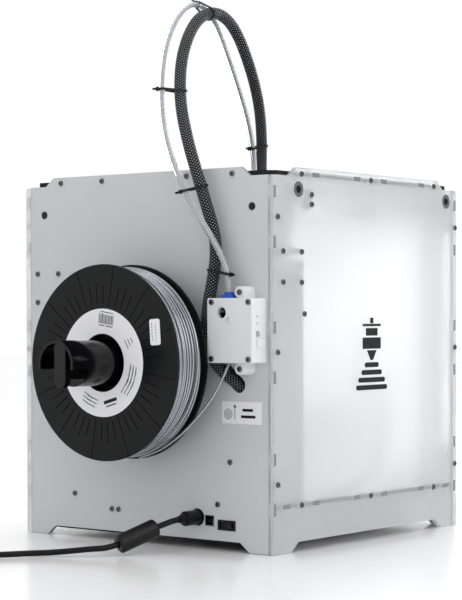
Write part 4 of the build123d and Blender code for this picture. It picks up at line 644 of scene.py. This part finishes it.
class Cords(SubAssembly):
    """Feed tube, braided sleeve, power lead and the cable ties."""

    def __init__(self, library: MaterialLibrary, sizes: CordSizes) -> None:
        """Keep the library and the sizes."""
        super().__init__(library)
        self.sizes = sizes

    def build(self) -> None:
        """Make every cord and what holds it."""
        s = self.sizes
        tube = self._arch("feed_tube", s.tube_route, s.tube_radius, TUBE_FEP, "tube_plastic", 12)
        sleeve = self._arch("cable_sleeve", s.sleeve_route, s.sleeve_radius, BRAIDED_SLEEVE, "braid_sleeve",
                            24)
        self._strand()
        self._strand_in_tube(tube)
        self._ties(tube, sleeve)
        self._bed_cable()
        self._lead()

    def _halves(self, line: Sequence[Vector]) -> tuple[list[Vector], list[Vector]]:
        """Cut a line at its highest point."""
        top = max(range(len(line)), key=lambda i: line[i].z)
        return list(line[:top + 1]), list(line[top:])

    def _bend(self, piece: bpy.types.Object, line: Sequence[Vector], rising: bool) -> None:
        """Bake the placement of a piece of the arch into its mesh, the same way for either half."""
        if rising:
            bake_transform(piece)
        else:
            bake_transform(piece)

    def _arch(self, name: str, route: Sequence[Point], radius: float, finish: Finish, slot: str,
              sides: int) -> list[Vector]:
        """Make one arched cord in two pieces, cut at its highest point.

        Args:
            name: The frame node it stands for.
            route: Control points in millimetres.
            radius: Its radius in millimetres.
            finish: Its finish.
            slot: Its record slot.
            sides: Sides of its section.

        Returns:
            The centre line.
        """
        line = centre_line(points_of(route))
        rise, fall = self._halves(line)
        for part, label in ((rise, "rise"), (fall, "fall")):
            draft = MeshDraft()
            draft.tube(part, radius * MM, sides)
            piece = self.dress(draft.finish(f"{name}_{label}"), finish, slot)
            if label == "rise":
                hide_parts(name)
            self._bend(piece, part, label == "rise")
        return line

    def _strand(self) -> None:
        """Free filament between the reel and the feeder."""
        s = self.sizes
        route = points_of(s.strand_route)
        strand = spline_curve("filament_strand_cord", route, s.strand_radius * MM)
        self.dress(strand, SILVER_FILAMENT, "silver_filament", "case")
        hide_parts("filament_strand")
        length_of(centre_line(route))

    def _strand_in_tube(self, line: Sequence[Vector]) -> None:
        """Filament seen through the wall of the feed tube."""
        for part, label in zip(self._halves(line), ("rise", "fall")):
            draft = MeshDraft()
            draft.tube(part, self.sizes.strand_radius * MM, 8)
            piece = self.dress(draft.finish(f"strand_in_tube_{label}"), SILVER_FILAMENT, "silver_filament")
            self._bend(piece, part, label == "rise")

    def _ties(self, tube: Sequence[Vector], sleeve: Sequence[Vector]) -> None:
        """Strap the tube to the sleeve at the heights where the ties sit."""
        tube_parts, sleeve_parts = self._halves(tube), self._halves(sleeve)
        for index, (half, height, level) in enumerate(self.sizes.ties):
            first = min(tube_parts[half], key=lambda p: abs(p.z - height * MM))
            near = min(sleeve_parts[half], key=lambda p: (p - first).length)
            i = sleeve_parts[half].index(near)
            after = sleeve_parts[half][min(i + 1, len(sleeve_parts[half]) - 1)]
            tangent = (after - sleeve_parts[half][i - 1]).normalized()
            if level:
                across = Vector(self.sizes.tie_facing)
                tangent = (tangent - across * tangent.dot(across)).normalized()
            draft = MeshDraft()
            self._strap(draft, first, near, tangent)
            piece = self.dress(draft.finish(f"cable_tie_{index + 1}", smooth=False), BLACK_MOULDING,
                               "black_plastic")
            self._bend(piece, tube_parts[half], half == 0)

    def _strap(self, draft: MeshDraft, tube: Vector, sleeve: Vector, tangent: Vector) -> None:
        """One strap drawn round the tube and the sleeve, with its lock and trimmed tail."""
        s = self.sizes
        side = sleeve - tube
        side = (side - tangent * side.dot(tangent)).normalized()
        up = tangent.cross(side)
        circles = ((tube, (s.tube_radius + 0.25) * MM), (sleeve, (s.sleeve_radius + 0.25) * MM))
        width, thick = 2.4 * MM, 1.1 * MM
        rings = []
        for k in range(40):
            a = 2 * math.pi * k / 40
            out = side * math.cos(a) + up * math.sin(a)
            centre, radius = max(circles, key=lambda c: c[0].dot(out) + c[1])
            edge = centre + out * radius
            rings.append([edge - tangent * width / 2, edge + tangent * width / 2,
                          edge + tangent * width / 2 + out * thick,
                          edge - tangent * width / 2 + out * thick])
        faces = [(i * 4 + j, i * 4 + (j + 1) % 4, (i + 1) % 40 * 4 + (j + 1) % 4, (i + 1) % 40 * 4 + j)
                 for i in range(40) for j in range(4)]
        draft.add([v for ring in rings for v in ring], faces)
        lock = tube - side * (s.tube_radius + 1.6) * MM
        for size, shift in (((2.6, 3.6, 4.2), Vector()), ((5.0, 0.9, 2.2), -side * 3 * MM)):
            half = [side * size[0] * MM / 2, up * size[1] * MM / 2, tangent * size[2] * MM / 2]
            middle = lock + shift
            draft.prism([middle + half[0] * a + half[1] * b - half[2]
                         for a, b in ((-1, -1), (1, -1), (1, 1), (-1, 1))],
                        half[2] * 2)

    def _bed_cable(self) -> None:
        """Cable that hangs in a bow between the case floor and the bed."""
        s = self.sizes
        line = centre_line(points_of(s.bed_cable_route))
        draft = MeshDraft()
        draft.tube(line, s.bed_cable_radius * MM, 12)
        piece = self.dress(draft.finish("bed_cable"), CABLE_GREY, "black_plastic")
        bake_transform(piece)

    def _lead(self) -> None:
        """Power lead from its plug, through the bead, into a neat coil and the supply's strain relief."""
        s = self.sizes
        coil = []
        steps = s.coil_steps
        radii, heights = (*s.coil_radii, s.coil_radii[-1]), (*s.coil_heights, s.coil_heights[-1])
        for k in range(1, 4 * steps + steps // 4 + 1):
            turn, share = divmod(k / steps, 1)
            turn = int(turn)
            blend = max(0.0, (share - 0.7) / 0.3)
            blend = blend * blend * (3 - 2 * blend)
            following = min(turn + 1, len(radii) - 1)
            radius = radii[turn] + (radii[following] - radii[turn]) * blend
            height = heights[turn] + (heights[following] - heights[turn]) * blend
            a = math.radians(-90) + 2 * math.pi * k / steps
            radius += s.entry_offset * max(0.0, 1 - 4 * k / steps) ** 2
            coil.append((s.coil_centre[0] + radius * math.cos(a), s.coil_centre[1] + radius * math.sin(a),
                         height))
        route = points_of([*s.lead_route, *coil, *s.lead_tail])
        lead = spline_curve("power_lead_cord", route, s.lead_radius * MM)
        self.dress(lead, LEAD_RUBBER, "lead_rubber", "case")
        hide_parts("power_lead", "lead_coil")
        length_of(centre_line(route))


@dataclass(frozen=True)
class WindingSizes:
    """Layout of the wound filament, in millimetres."""

    axis_x: float = REEL_AXIS_X
    axis_z: float = REEL_AXIS_Z
    first_y: float = 202.6
    last_y: float = 239.9
    strand_radius: float = 1.43
    bed_radius: float = 92.0
    steps: int = 120
    outer: tuple[tuple[float, float], ...] = (
        (204.2, 94.8), (207.3, 95.0), (211.8, 94.7), (214.8, 95.0), (218.0, 94.8), (223.6, 94.9),
        (226.7, 94.7), (231.9, 95.0), (235.0, 94.9), (238.3, 94.7), (209.6, 96.6), (229.2, 96.5))


class Winding(SubAssembly):
    """Wound filament: a packed bed of turns with loose, drifting turns over it, on a solid core in painted
    shade.
    """

    def __init__(self, library: MaterialLibrary, sizes: WindingSizes) -> None:
        """Keep the library and the sizes."""
        super().__init__(library)
        self.sizes = sizes

    def _loop(self, y: float, radius: float, seed: int, drift: float) -> list[Vector]:
        """One closed turn that wanders a little sideways and in height."""
        s = self.sizes
        line = []
        for k in range(s.steps):
            a = 2 * math.pi * k / s.steps
            side = drift * math.sin(a + seed * 1.7) + 0.35 * drift * math.sin(2 * a + seed)
            lift = 0.45 * math.sin(3 * a + seed * 0.9) * (1 if drift > 0.3 else 0.2)
            r = radius + lift
            place = min(max(y + side, s.first_y), s.last_y)
            line.append(Vector((s.axis_x + r * math.cos(a), place, s.axis_z + r * math.sin(a))) * MM)
        return line

    def build(self) -> None:
        """Make the winding and hide its plain stand-in."""
        s = self.sizes
        draft = MeshDraft()
        count = int((s.last_y - s.first_y) / (2 * s.strand_radius + 0.02)) + 1
        for i in range(count):
            y = s.first_y + (s.last_y - s.first_y) * i / (count - 1)
            draft.tube(self._loop(y, s.bed_radius, i, 0.12), s.strand_radius * MM, 8, closed=True)
        for i, (y, radius) in enumerate(s.outer):
            draft.tube(self._loop(y, radius, i + 3, 1.5), s.strand_radius * MM, 10, closed=True)
        winding = self.dress(draft.finish("filament_winding_strands"), SILVER_FILAMENT, "silver_filament",
                             "reel")
        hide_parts("filament_winding")
        # Solid ring under the turns in the darker filament copy: painted shade between and behind them.
        core = MeshDraft()
        right, up = Vector((1, 0, 0)), Vector((0, 0, 1))
        centre = Vector((s.axis_x, s.first_y - 1.4, s.axis_z)) * MM
        core.ring(centre, right, up, (53 * MM, (s.bed_radius - 0.8) * MM),
                  Vector((0, (s.last_y - s.first_y + 2.8) * MM, 0)))
        self.dress(core.finish("filament_winding_shaded_core", smooth=False), SHADED_FILAMENT, "silver_filament",
                   "reel")


@dataclass(frozen=True)
class FlatPlace:
    """A flat place on the object: its centre and its two directions as someone facing it sees them."""

    centre: Vector
    right: Vector
    up: Vector
    out: Vector

    def at(self, x: float, y: float, lift: float = 0.0) -> Vector:
        """Point x millimetres to the right, y up and lift off the surface."""
        return self.centre + (self.right * x + self.up * y + self.out * lift) * MM

    def turned(self, degrees: float) -> "FlatPlace":
        """The same place with its directions turned in its plane."""
        spin = Matrix.Rotation(math.radians(degrees), 3, self.out)
        return FlatPlace(self.centre, spin @ self.right, spin @ self.up, self.out)


class Prints(SubAssembly):
    """Labels and printed marks, all of them plain bars and signs."""

    def _bars(self, draft: MeshDraft, place: FlatPlace, bars: Iterable[tuple[float, float, float, float]],
              lift: float, thick: float = 0.04) -> None:
        """Add flat bars, each given by its left, low, right and high edge in millimetres."""
        for left, low, right, high in bars:
            corners = [place.at(left, low, lift), place.at(right, low, lift), place.at(right, high, lift),
                       place.at(left, high, lift)]
            draft.prism(corners, place.out * thick * MM)

    def _rounded(self, place: FlatPlace, width: float, height: float, radius: float,
                 lift: float) -> list[Vector]:
        """Corners of a rounded rectangle."""
        corners = []
        for sx, sy, start in ((1, 1, 0), (-1, 1, 90), (-1, -1, 180), (1, -1, 270)):
            for step in range(5):
                a = math.radians(start + 22.5 * step)
                corners.append(place.at(sx * (width / 2 - radius) + radius * math.cos(a),
                                        sy * (height / 2 - radius) + radius * math.sin(a), lift))
        return corners

    def reel_label(self, front: float) -> None:
        """Ring label round the reel's bore, with bars in place of print.

        Args:
            front: Height in Y of the reel's outer face.
        """
        centre = Vector((REEL_AXIS_X * MM, front, REEL_AXIS_Z * MM))
        place = FlatPlace(centre, Vector((-1, 0, 0)), Vector((0, 0, 1)), Vector((0, 1, 0)))
        paper = MeshDraft()
        paper.ring(place.at(0, 0, 0.02), place.right, place.up, (29.6 * MM, 55 * MM), place.out * 0.12 * MM)
        self.dress(paper.finish("reel_label", smooth=False), PAPER_LABEL, "white_plastic", "reel")
        ink = MeshDraft()
        widths = (0.9, 0.4, 0.5, 1.2, 0.4, 0.7, 0.4, 1.1, 0.5, 0.4, 0.9, 0.6, 0.4, 1.0, 0.4, 0.6)
        code = place.turned(-8)
        x = -10.5
        for i, width in enumerate(widths):
            self._bars(ink, code, [(x, 39.5, x + width, 50.0 - (1.2 if i % 3 else 0))], 0.14)
            x += width + 0.62
        self._bars(ink, code, [(-10, 37.2, -2, 38.1), (0, 37.2, 9, 38.1), (-9, 51, 8, 51.8)], 0.14)
        low = place.turned(196)
        self._bars(ink, low, [(-9.0, 38.0, 9.0, 41.4), (-7.0, 43.6, 7.0, 44.8)], 0.14)
        self.dress(ink.finish("reel_label_print", smooth=False), PRINT_INK, "black_plastic", "reel")
        faint = MeshDraft()
        for angle, length in ((-100, 13), (-108, 17), (-117, 12), (-126, 18), (160, 16), (150, 13),
                              (-60, 10)):
            turned = place.turned(angle)
            for row in range(3):
                self._bars(faint, turned, [(-length / 2 + row, 37.5 + 4 * row, length / 2 - row,
                                            38.6 + 4 * row)], 0.14)
        self.dress(faint.finish("reel_label_lines", smooth=False), FAINT_INK, "black_plastic", "reel")

    def reel_tag(self, front: float) -> None:
        """Small tag on the reel's flange.

        Args:
            front: Height in Y of the reel's outer face.
        """
        place = FlatPlace(Vector((-80.8 * MM, front, 222.6 * MM)), Vector((-1, 0, 0)), Vector((0, 0, 1)),
                          Vector((0, 1, 0))).turned(4)
        paper = MeshDraft()
        paper.prism(self._rounded(place, 13.5, 26, 2.4, 0.02), place.out * 0.12 * MM)
        self.dress(paper.finish("reel_tag", smooth=False), PAPER_LABEL, "white_plastic", "reel")
        ink = MeshDraft()
        self._bars(ink, place, [(-4.4, -8 + k * 3.1, -3.4, -6.2 + k * 3.1) for k in range(6)]
                   + [(0.6, -9 + k * 2.6, 1.4, -7.6 + k * 2.6) for k in range(7)], 0.14)
        self.dress(ink.finish("reel_tag_print", smooth=False), FAINT_INK, "black_plastic", "reel")

    def loading_sign(self, face: float) -> None:
        """Sign on the back panel: a coil, an arrow and bars in place of words.

        Args:
            face: Height in Y of the back panel's outer face.
        """
        place = FlatPlace(Vector((-130.8 * MM, face, 140.8 * MM)), Vector((-1, 0, 0)), Vector((0, 0, 1)),
                          Vector((0, 1, 0)))
        paper = MeshDraft()
        paper.prism(self._rounded(place, 51, 22.5, 0.8, 0.01), place.out * 0.1 * MM)
        self.dress(paper.finish("loading_sign", smooth=False), PAPER_LABEL, "white_plastic", "case")
        ink = MeshDraft()
        centre = place.at(-17.5, -1.5, 0.12)
        for radii in ((1.0, 1.7), (2.9, 3.5), (4.7, 5.3)):
            ink.ring(centre, place.right, place.up, (radii[0] * MM, radii[1] * MM), place.out * 0.04 * MM)
        self._bars(ink, place, [(-9.2, -7.5, -8.5, 6.0), (1.0, 1.4, 14.5, 4.2), (-1.0, -5.2, 17.5, -2.4)],
                   0.12)
        ink.prism([place.at(-10.9, 5.2, 0.12), place.at(-6.8, 5.2, 0.12), place.at(-8.85, 8.6, 0.12)],
                  place.out * 0.04 * MM)
        self.dress(ink.finish("loading_sign_print", smooth=False), PRINT_INK, "black_plastic", "case")

    def emblem(self, face: float) -> None:
        """Plain emblem on the side panel: a stack of layers under a nozzle.

        Args:
            face: Height in X of the side panel's outer face.
        """
        place = FlatPlace(Vector((face, -2 * MM, 195 * MM)), Vector((0, -1, 0)), Vector((0, 0, 1)),
                          Vector((-1, 0, 0)))
        ink = MeshDraft()
        thick = place.out * 0.1 * MM
        for x, low, width, high in ((0, 8, 34, 20), (0, 22, 22, 30)):
            outline = [(-width / 2, low), (width / 2, low), (width / 2, high), (-width / 2, high)]
            ink.prism([place.at(x + a, b, 0.02) for a, b in outline], thick)
        ink.prism([place.at(a, b, 0.02) for a, b in ((-9, 6.5), (9, 6.5), (2.4, -4), (-2.4, -4))], thick)
        for row, (half, drop) in enumerate(((13, -9), (19, -17), (25, -25), (29, -33))):
            ink.prism(self._rounded(FlatPlace(place.at(0, drop), place.right, place.up, place.out),
                                    2 * half, 5.2, 2.4,
                                    0.02), thick)
        self._bars(ink, place, [(-17, 32, 17, 34.5), (-3, 35, 3, 41)], 0.02, 0.1)
        self.dress(ink.finish("side_emblem", smooth=False), PRINT_INK, "black_plastic", "case")

    def switch_marks(self, face: float) -> None:
        """A single bar sign on the rocker.

        Args:
            face: Height in Y of the rocker's outer face.
        """
        place = FlatPlace(Vector((-111.25 * MM, face, 26 * MM)), Vector((-1, 0, 0)), Vector((0, 0, 1)),
                          Vector((0, 1, 0)))
        ink = MeshDraft()
        self._bars(ink, place, [(4.4, -1.2, 4.9, 1.2)], -1.0)
        self.dress(ink.finish("switch_mark", smooth=False), PAPER_LABEL, "white_plastic", "power_rocker")


@dataclass(frozen=True)
class FittingSizes:
    """Sizes and places of the small fittings, in millimetres."""

    strip_x: tuple[float, float] = (154.0, 162.0)
    strip_y: tuple[float, float] = (-163.5, -161.0)
    strip_z: tuple[float, float] = (90.0, 330.0)
    strip_bevel: float = 0.6
    sensor_low: Point = (-164.6, 99.0, 346.0)
    sensor_high: Point = (-158.5, 112.0, 366.5)
    sensor_bevel: float = 0.8
    end_disc_radii: tuple[float, float] = (0.2, 3.7)
    end_disc_height: float = 0.2
    shell_x: tuple[float, float] = (-94.3, -83.0)
    shell_z: tuple[float, float] = (23.7, 34.6)
    shell_wall: float = 0.8
    shell_y: float = 169.9
    shell_depth: float = 0.5


class Fittings(SubAssembly):
    """Small fittings that the frame leaves out: light strips, a sensor, dark discs on the shaft ends and a
    socket's shell.
    """

    def __init__(self, library: MaterialLibrary, sizes: FittingSizes) -> None:
        """Keep the library and the sizes."""
        super().__init__(library)
        self.sizes = sizes

    def _block(self, name: str, low: Point, high: Point, bevel: float, finish: Finish, slot: str,
               body: str) -> bpy.types.Object:
        """Make a block with rounded edges between two corners, in millimetres."""
        draft = MeshDraft()
        a, b = Vector(low) * MM, Vector(high) * MM
        draft.prism([a, Vector((b.x, a.y, a.z)), Vector((b.x, b.y, a.z)), Vector((a.x, b.y, a.z))],
                    Vector((0, 0, b.z - a.z)))
        piece = self.dress(draft.finish(name, smooth=False), finish, slot, body)
        rounding = piece.modifiers.new("edges", "BEVEL")
        rounding.width = bevel * MM
        rounding.segments = 3
        return piece

    def _shaft_ends(self, name: str, body: str, axis: int) -> None:
        """Thin black discs on both ends of a shaft that runs along one axis, darkening the shaft ends."""
        low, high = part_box(name)
        middle = (Vector(low) + Vector(high)) / 2
        along = Vector([float(i == axis) for i in range(3)])
        right = Vector((0, 1, 0)) if axis == 0 else Vector((1, 0, 0))
        end_discs = MeshDraft()
        for face, out in ((low[axis], -1), (high[axis], 1)):
            centre = middle.copy()
            centre[axis] = face
            inner, outer = self.sizes.end_disc_radii
            end_discs.ring(centre, right, Vector((0, 0, 1)), (inner * MM, outer * MM),
                      along * out * self.sizes.end_disc_height * MM)
        self.dress(end_discs.finish(f"{name}_ends", smooth=False), BLACK_MOULDING, "black_plastic", body)

    def build(self) -> None:
        """Make the fittings."""
        z = self.sizes
        for sign, side in ((-1, "left"), (1, "right")):
            near, far = sorted(sign * x for x in z.strip_x)
            self._block(f"light_strip_{side}", (near, z.strip_y[0], z.strip_z[0]),
                        (far, z.strip_y[1], z.strip_z[1]), z.strip_bevel, LAMP_STRIP, "white_plastic",
                        "case")
        self._block("limit_sensor", z.sensor_low, z.sensor_high, z.sensor_bevel, BLACK_MOULDING,
                    "black_plastic", "case")
        for name, body, axis in (("front_shaft", "front_x_shaft", 0), ("rear_shaft", "rear_x_shaft", 0),
                                 ("left_shaft", "left_y_shaft", 1), ("right_shaft", "right_y_shaft", 1)):
            self._shaft_ends(name, body, axis)
        self._socket_shell()

    def _socket_shell(self) -> None:
        """Four thin walls round the data socket."""
        z = self.sizes
        (left, right), (low, high), wall = z.shell_x, z.shell_z, z.shell_wall
        shell = MeshDraft()
        for a, b in (((left, low), (right, low + wall)), ((left, high - wall), (right, high)),
                     ((left, low + wall), (left + wall, high - wall)),
                     ((right - wall, low + wall), (right, high - wall))):
            corners = (a, (b[0], a[1]), b, (a[0], b[1]))
            shell.prism([Vector((x, z.shell_y, height)) * MM for x, height in corners],
                        Vector((0, z.shell_depth * MM, 0)))
        self.dress(shell.finish("data_socket_shell", smooth=False), GROUND_STEEL, "bright_steel", "case")


# ------------------------------------------------------------------ studio


@dataclass(frozen=True)
class CameraSetup:
    """Where the camera stands and how it looks."""

    position: Point = (-1.3022, 1.6473, 0.2432)
    heading_deg: float = 142.347
    pitch_deg: float = -1.252
    roll_deg: float = -0.07
    lens_mm: float = 112.56
    shift: tuple[float, float] = (-0.0593, 0.0868)


@dataclass(frozen=True)
class Lamp:
    """A square soft light.

    Attributes:
        name: What it lights.
        place: Where it stands.
        size: Side of its square.
        power: Power in watts.
    """

    name: str
    place: Point
    size: float
    power: float


LAMPS = (Lamp("key", (-2.4, 0.3, 1.5), 1.6, 16.0), Lamp("top", (0.1, 0.0, 2.2), 1.4, 8.0),
         Lamp("front", (0.3, -2.2, 0.5), 1.4, 30.0))
LAMP_TARGET = (0.0, 0.0, 0.22)
FLOOR_HALF = 6.0
FLOOR_Z = -0.0004


class Studio:
    """Camera, soft lights and the pale sweep."""

    def __init__(self, library: MaterialLibrary, camera: CameraSetup) -> None:
        """Keep the library and the camera's place."""
        self.library = library
        self.camera = camera

    def build(self) -> None:
        """Set up the whole studio."""
        self._camera()
        self._world()
        self._sweep()
        for lamp in LAMPS:
            self._light(lamp.name, Vector(lamp.place), Vector(LAMP_TARGET), lamp.size, lamp.power)

    def _camera(self) -> None:
        """Place the camera."""
        setup = self.camera
        yaw, pitch = math.radians(setup.heading_deg), math.radians(setup.pitch_deg)
        forward = Vector((math.sin(yaw) * math.cos(pitch), math.cos(yaw) * math.cos(pitch), math.sin(pitch)))
        level = Vector((math.cos(yaw), -math.sin(yaw), 0.0))
        upright = level.cross(forward)
        roll = math.radians(setup.roll_deg)
        right = level * math.cos(roll) + upright * math.sin(roll)
        up = right.cross(forward)
        data = bpy.data.cameras.new("camera")
        data.lens, data.sensor_width = setup.lens_mm, 36.0
        data.shift_x, data.shift_y = setup.shift
        data.clip_start, data.clip_end = 0.05, 50.0
        camera = bpy.data.objects.new("camera", data)
        rotation = Matrix((right, up, -forward)).transposed()
        camera.matrix_world = Matrix.Translation(setup.position) @ rotation.to_4x4()
        bpy.context.scene.collection.objects.link(camera)
        bpy.context.scene.camera = camera

    def _world(self) -> None:
        """Surround the object with even white light."""
        world = bpy.data.worlds.new("studio")
        world.use_nodes = True
        background = world.node_tree.nodes["Background"]
        background.inputs["Color"].default_value = (1.0, 1.0, 1.0, 1.0)
        background.inputs["Strength"].default_value = 1.0
        bpy.context.scene.world = world
        bpy.context.scene.view_settings.view_transform = "Standard"

    def _sweep(self) -> None:
        """Lay the pale floor, a hair under the object's feet."""
        draft = MeshDraft()
        half = FLOOR_HALF
        draft.add([Vector((-half, -half, 0)), Vector((half, -half, 0)), Vector((half, half, 0)),
                   Vector((-half, half, 0))], [(0, 1, 2, 3)])
        floor = draft.finish("floor", smooth=False)
        floor.location.z = FLOOR_Z
        floor.data.materials.append(self.library.get(FLOOR_WHITE))

    def _light(self, name: str, place: Vector, target: Vector, size: float, power: float) -> None:
        """Stand one square light and turn it to the target."""
        data = bpy.data.lights.new(name, "AREA")
        data.size, data.energy = size, power
        lamp = bpy.data.objects.new(name, data)
        lamp.location = place
        lamp.rotation_euler = (target - place).to_track_quat("-Z", "Y").to_euler()
        bpy.context.scene.collection.objects.link(lamp)


def empty_scene() -> None:
    """Remove the default objects."""
    for item in list(bpy.data.objects):
        bpy.data.objects.remove(item)


def main() -> None:
    """Build the printer's looks on the frame."""
    logging.basicConfig(level=logging.INFO, format="%(message)s")
    empty_scene()
    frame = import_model()
    library = MaterialLibrary()
    Studio(library, CameraSetup()).build()
    Cords(library, CordSizes()).build()
    CadFinishes(library).build(frame["nodes"])
    Winding(library, WindingSizes()).build()
    prints = Prints(library)
    reel_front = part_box("reel")[1].y
    prints.reel_label(reel_front)
    prints.reel_tag(reel_front)
    prints.loading_sign(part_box("back_panel")[1].y)
    prints.emblem(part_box("left_panel")[0].x)
    prints.switch_marks(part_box("rocker_switch")[1].y)
    Fittings(library, FittingSizes()).build()


if __name__ == "__main__":
    main()
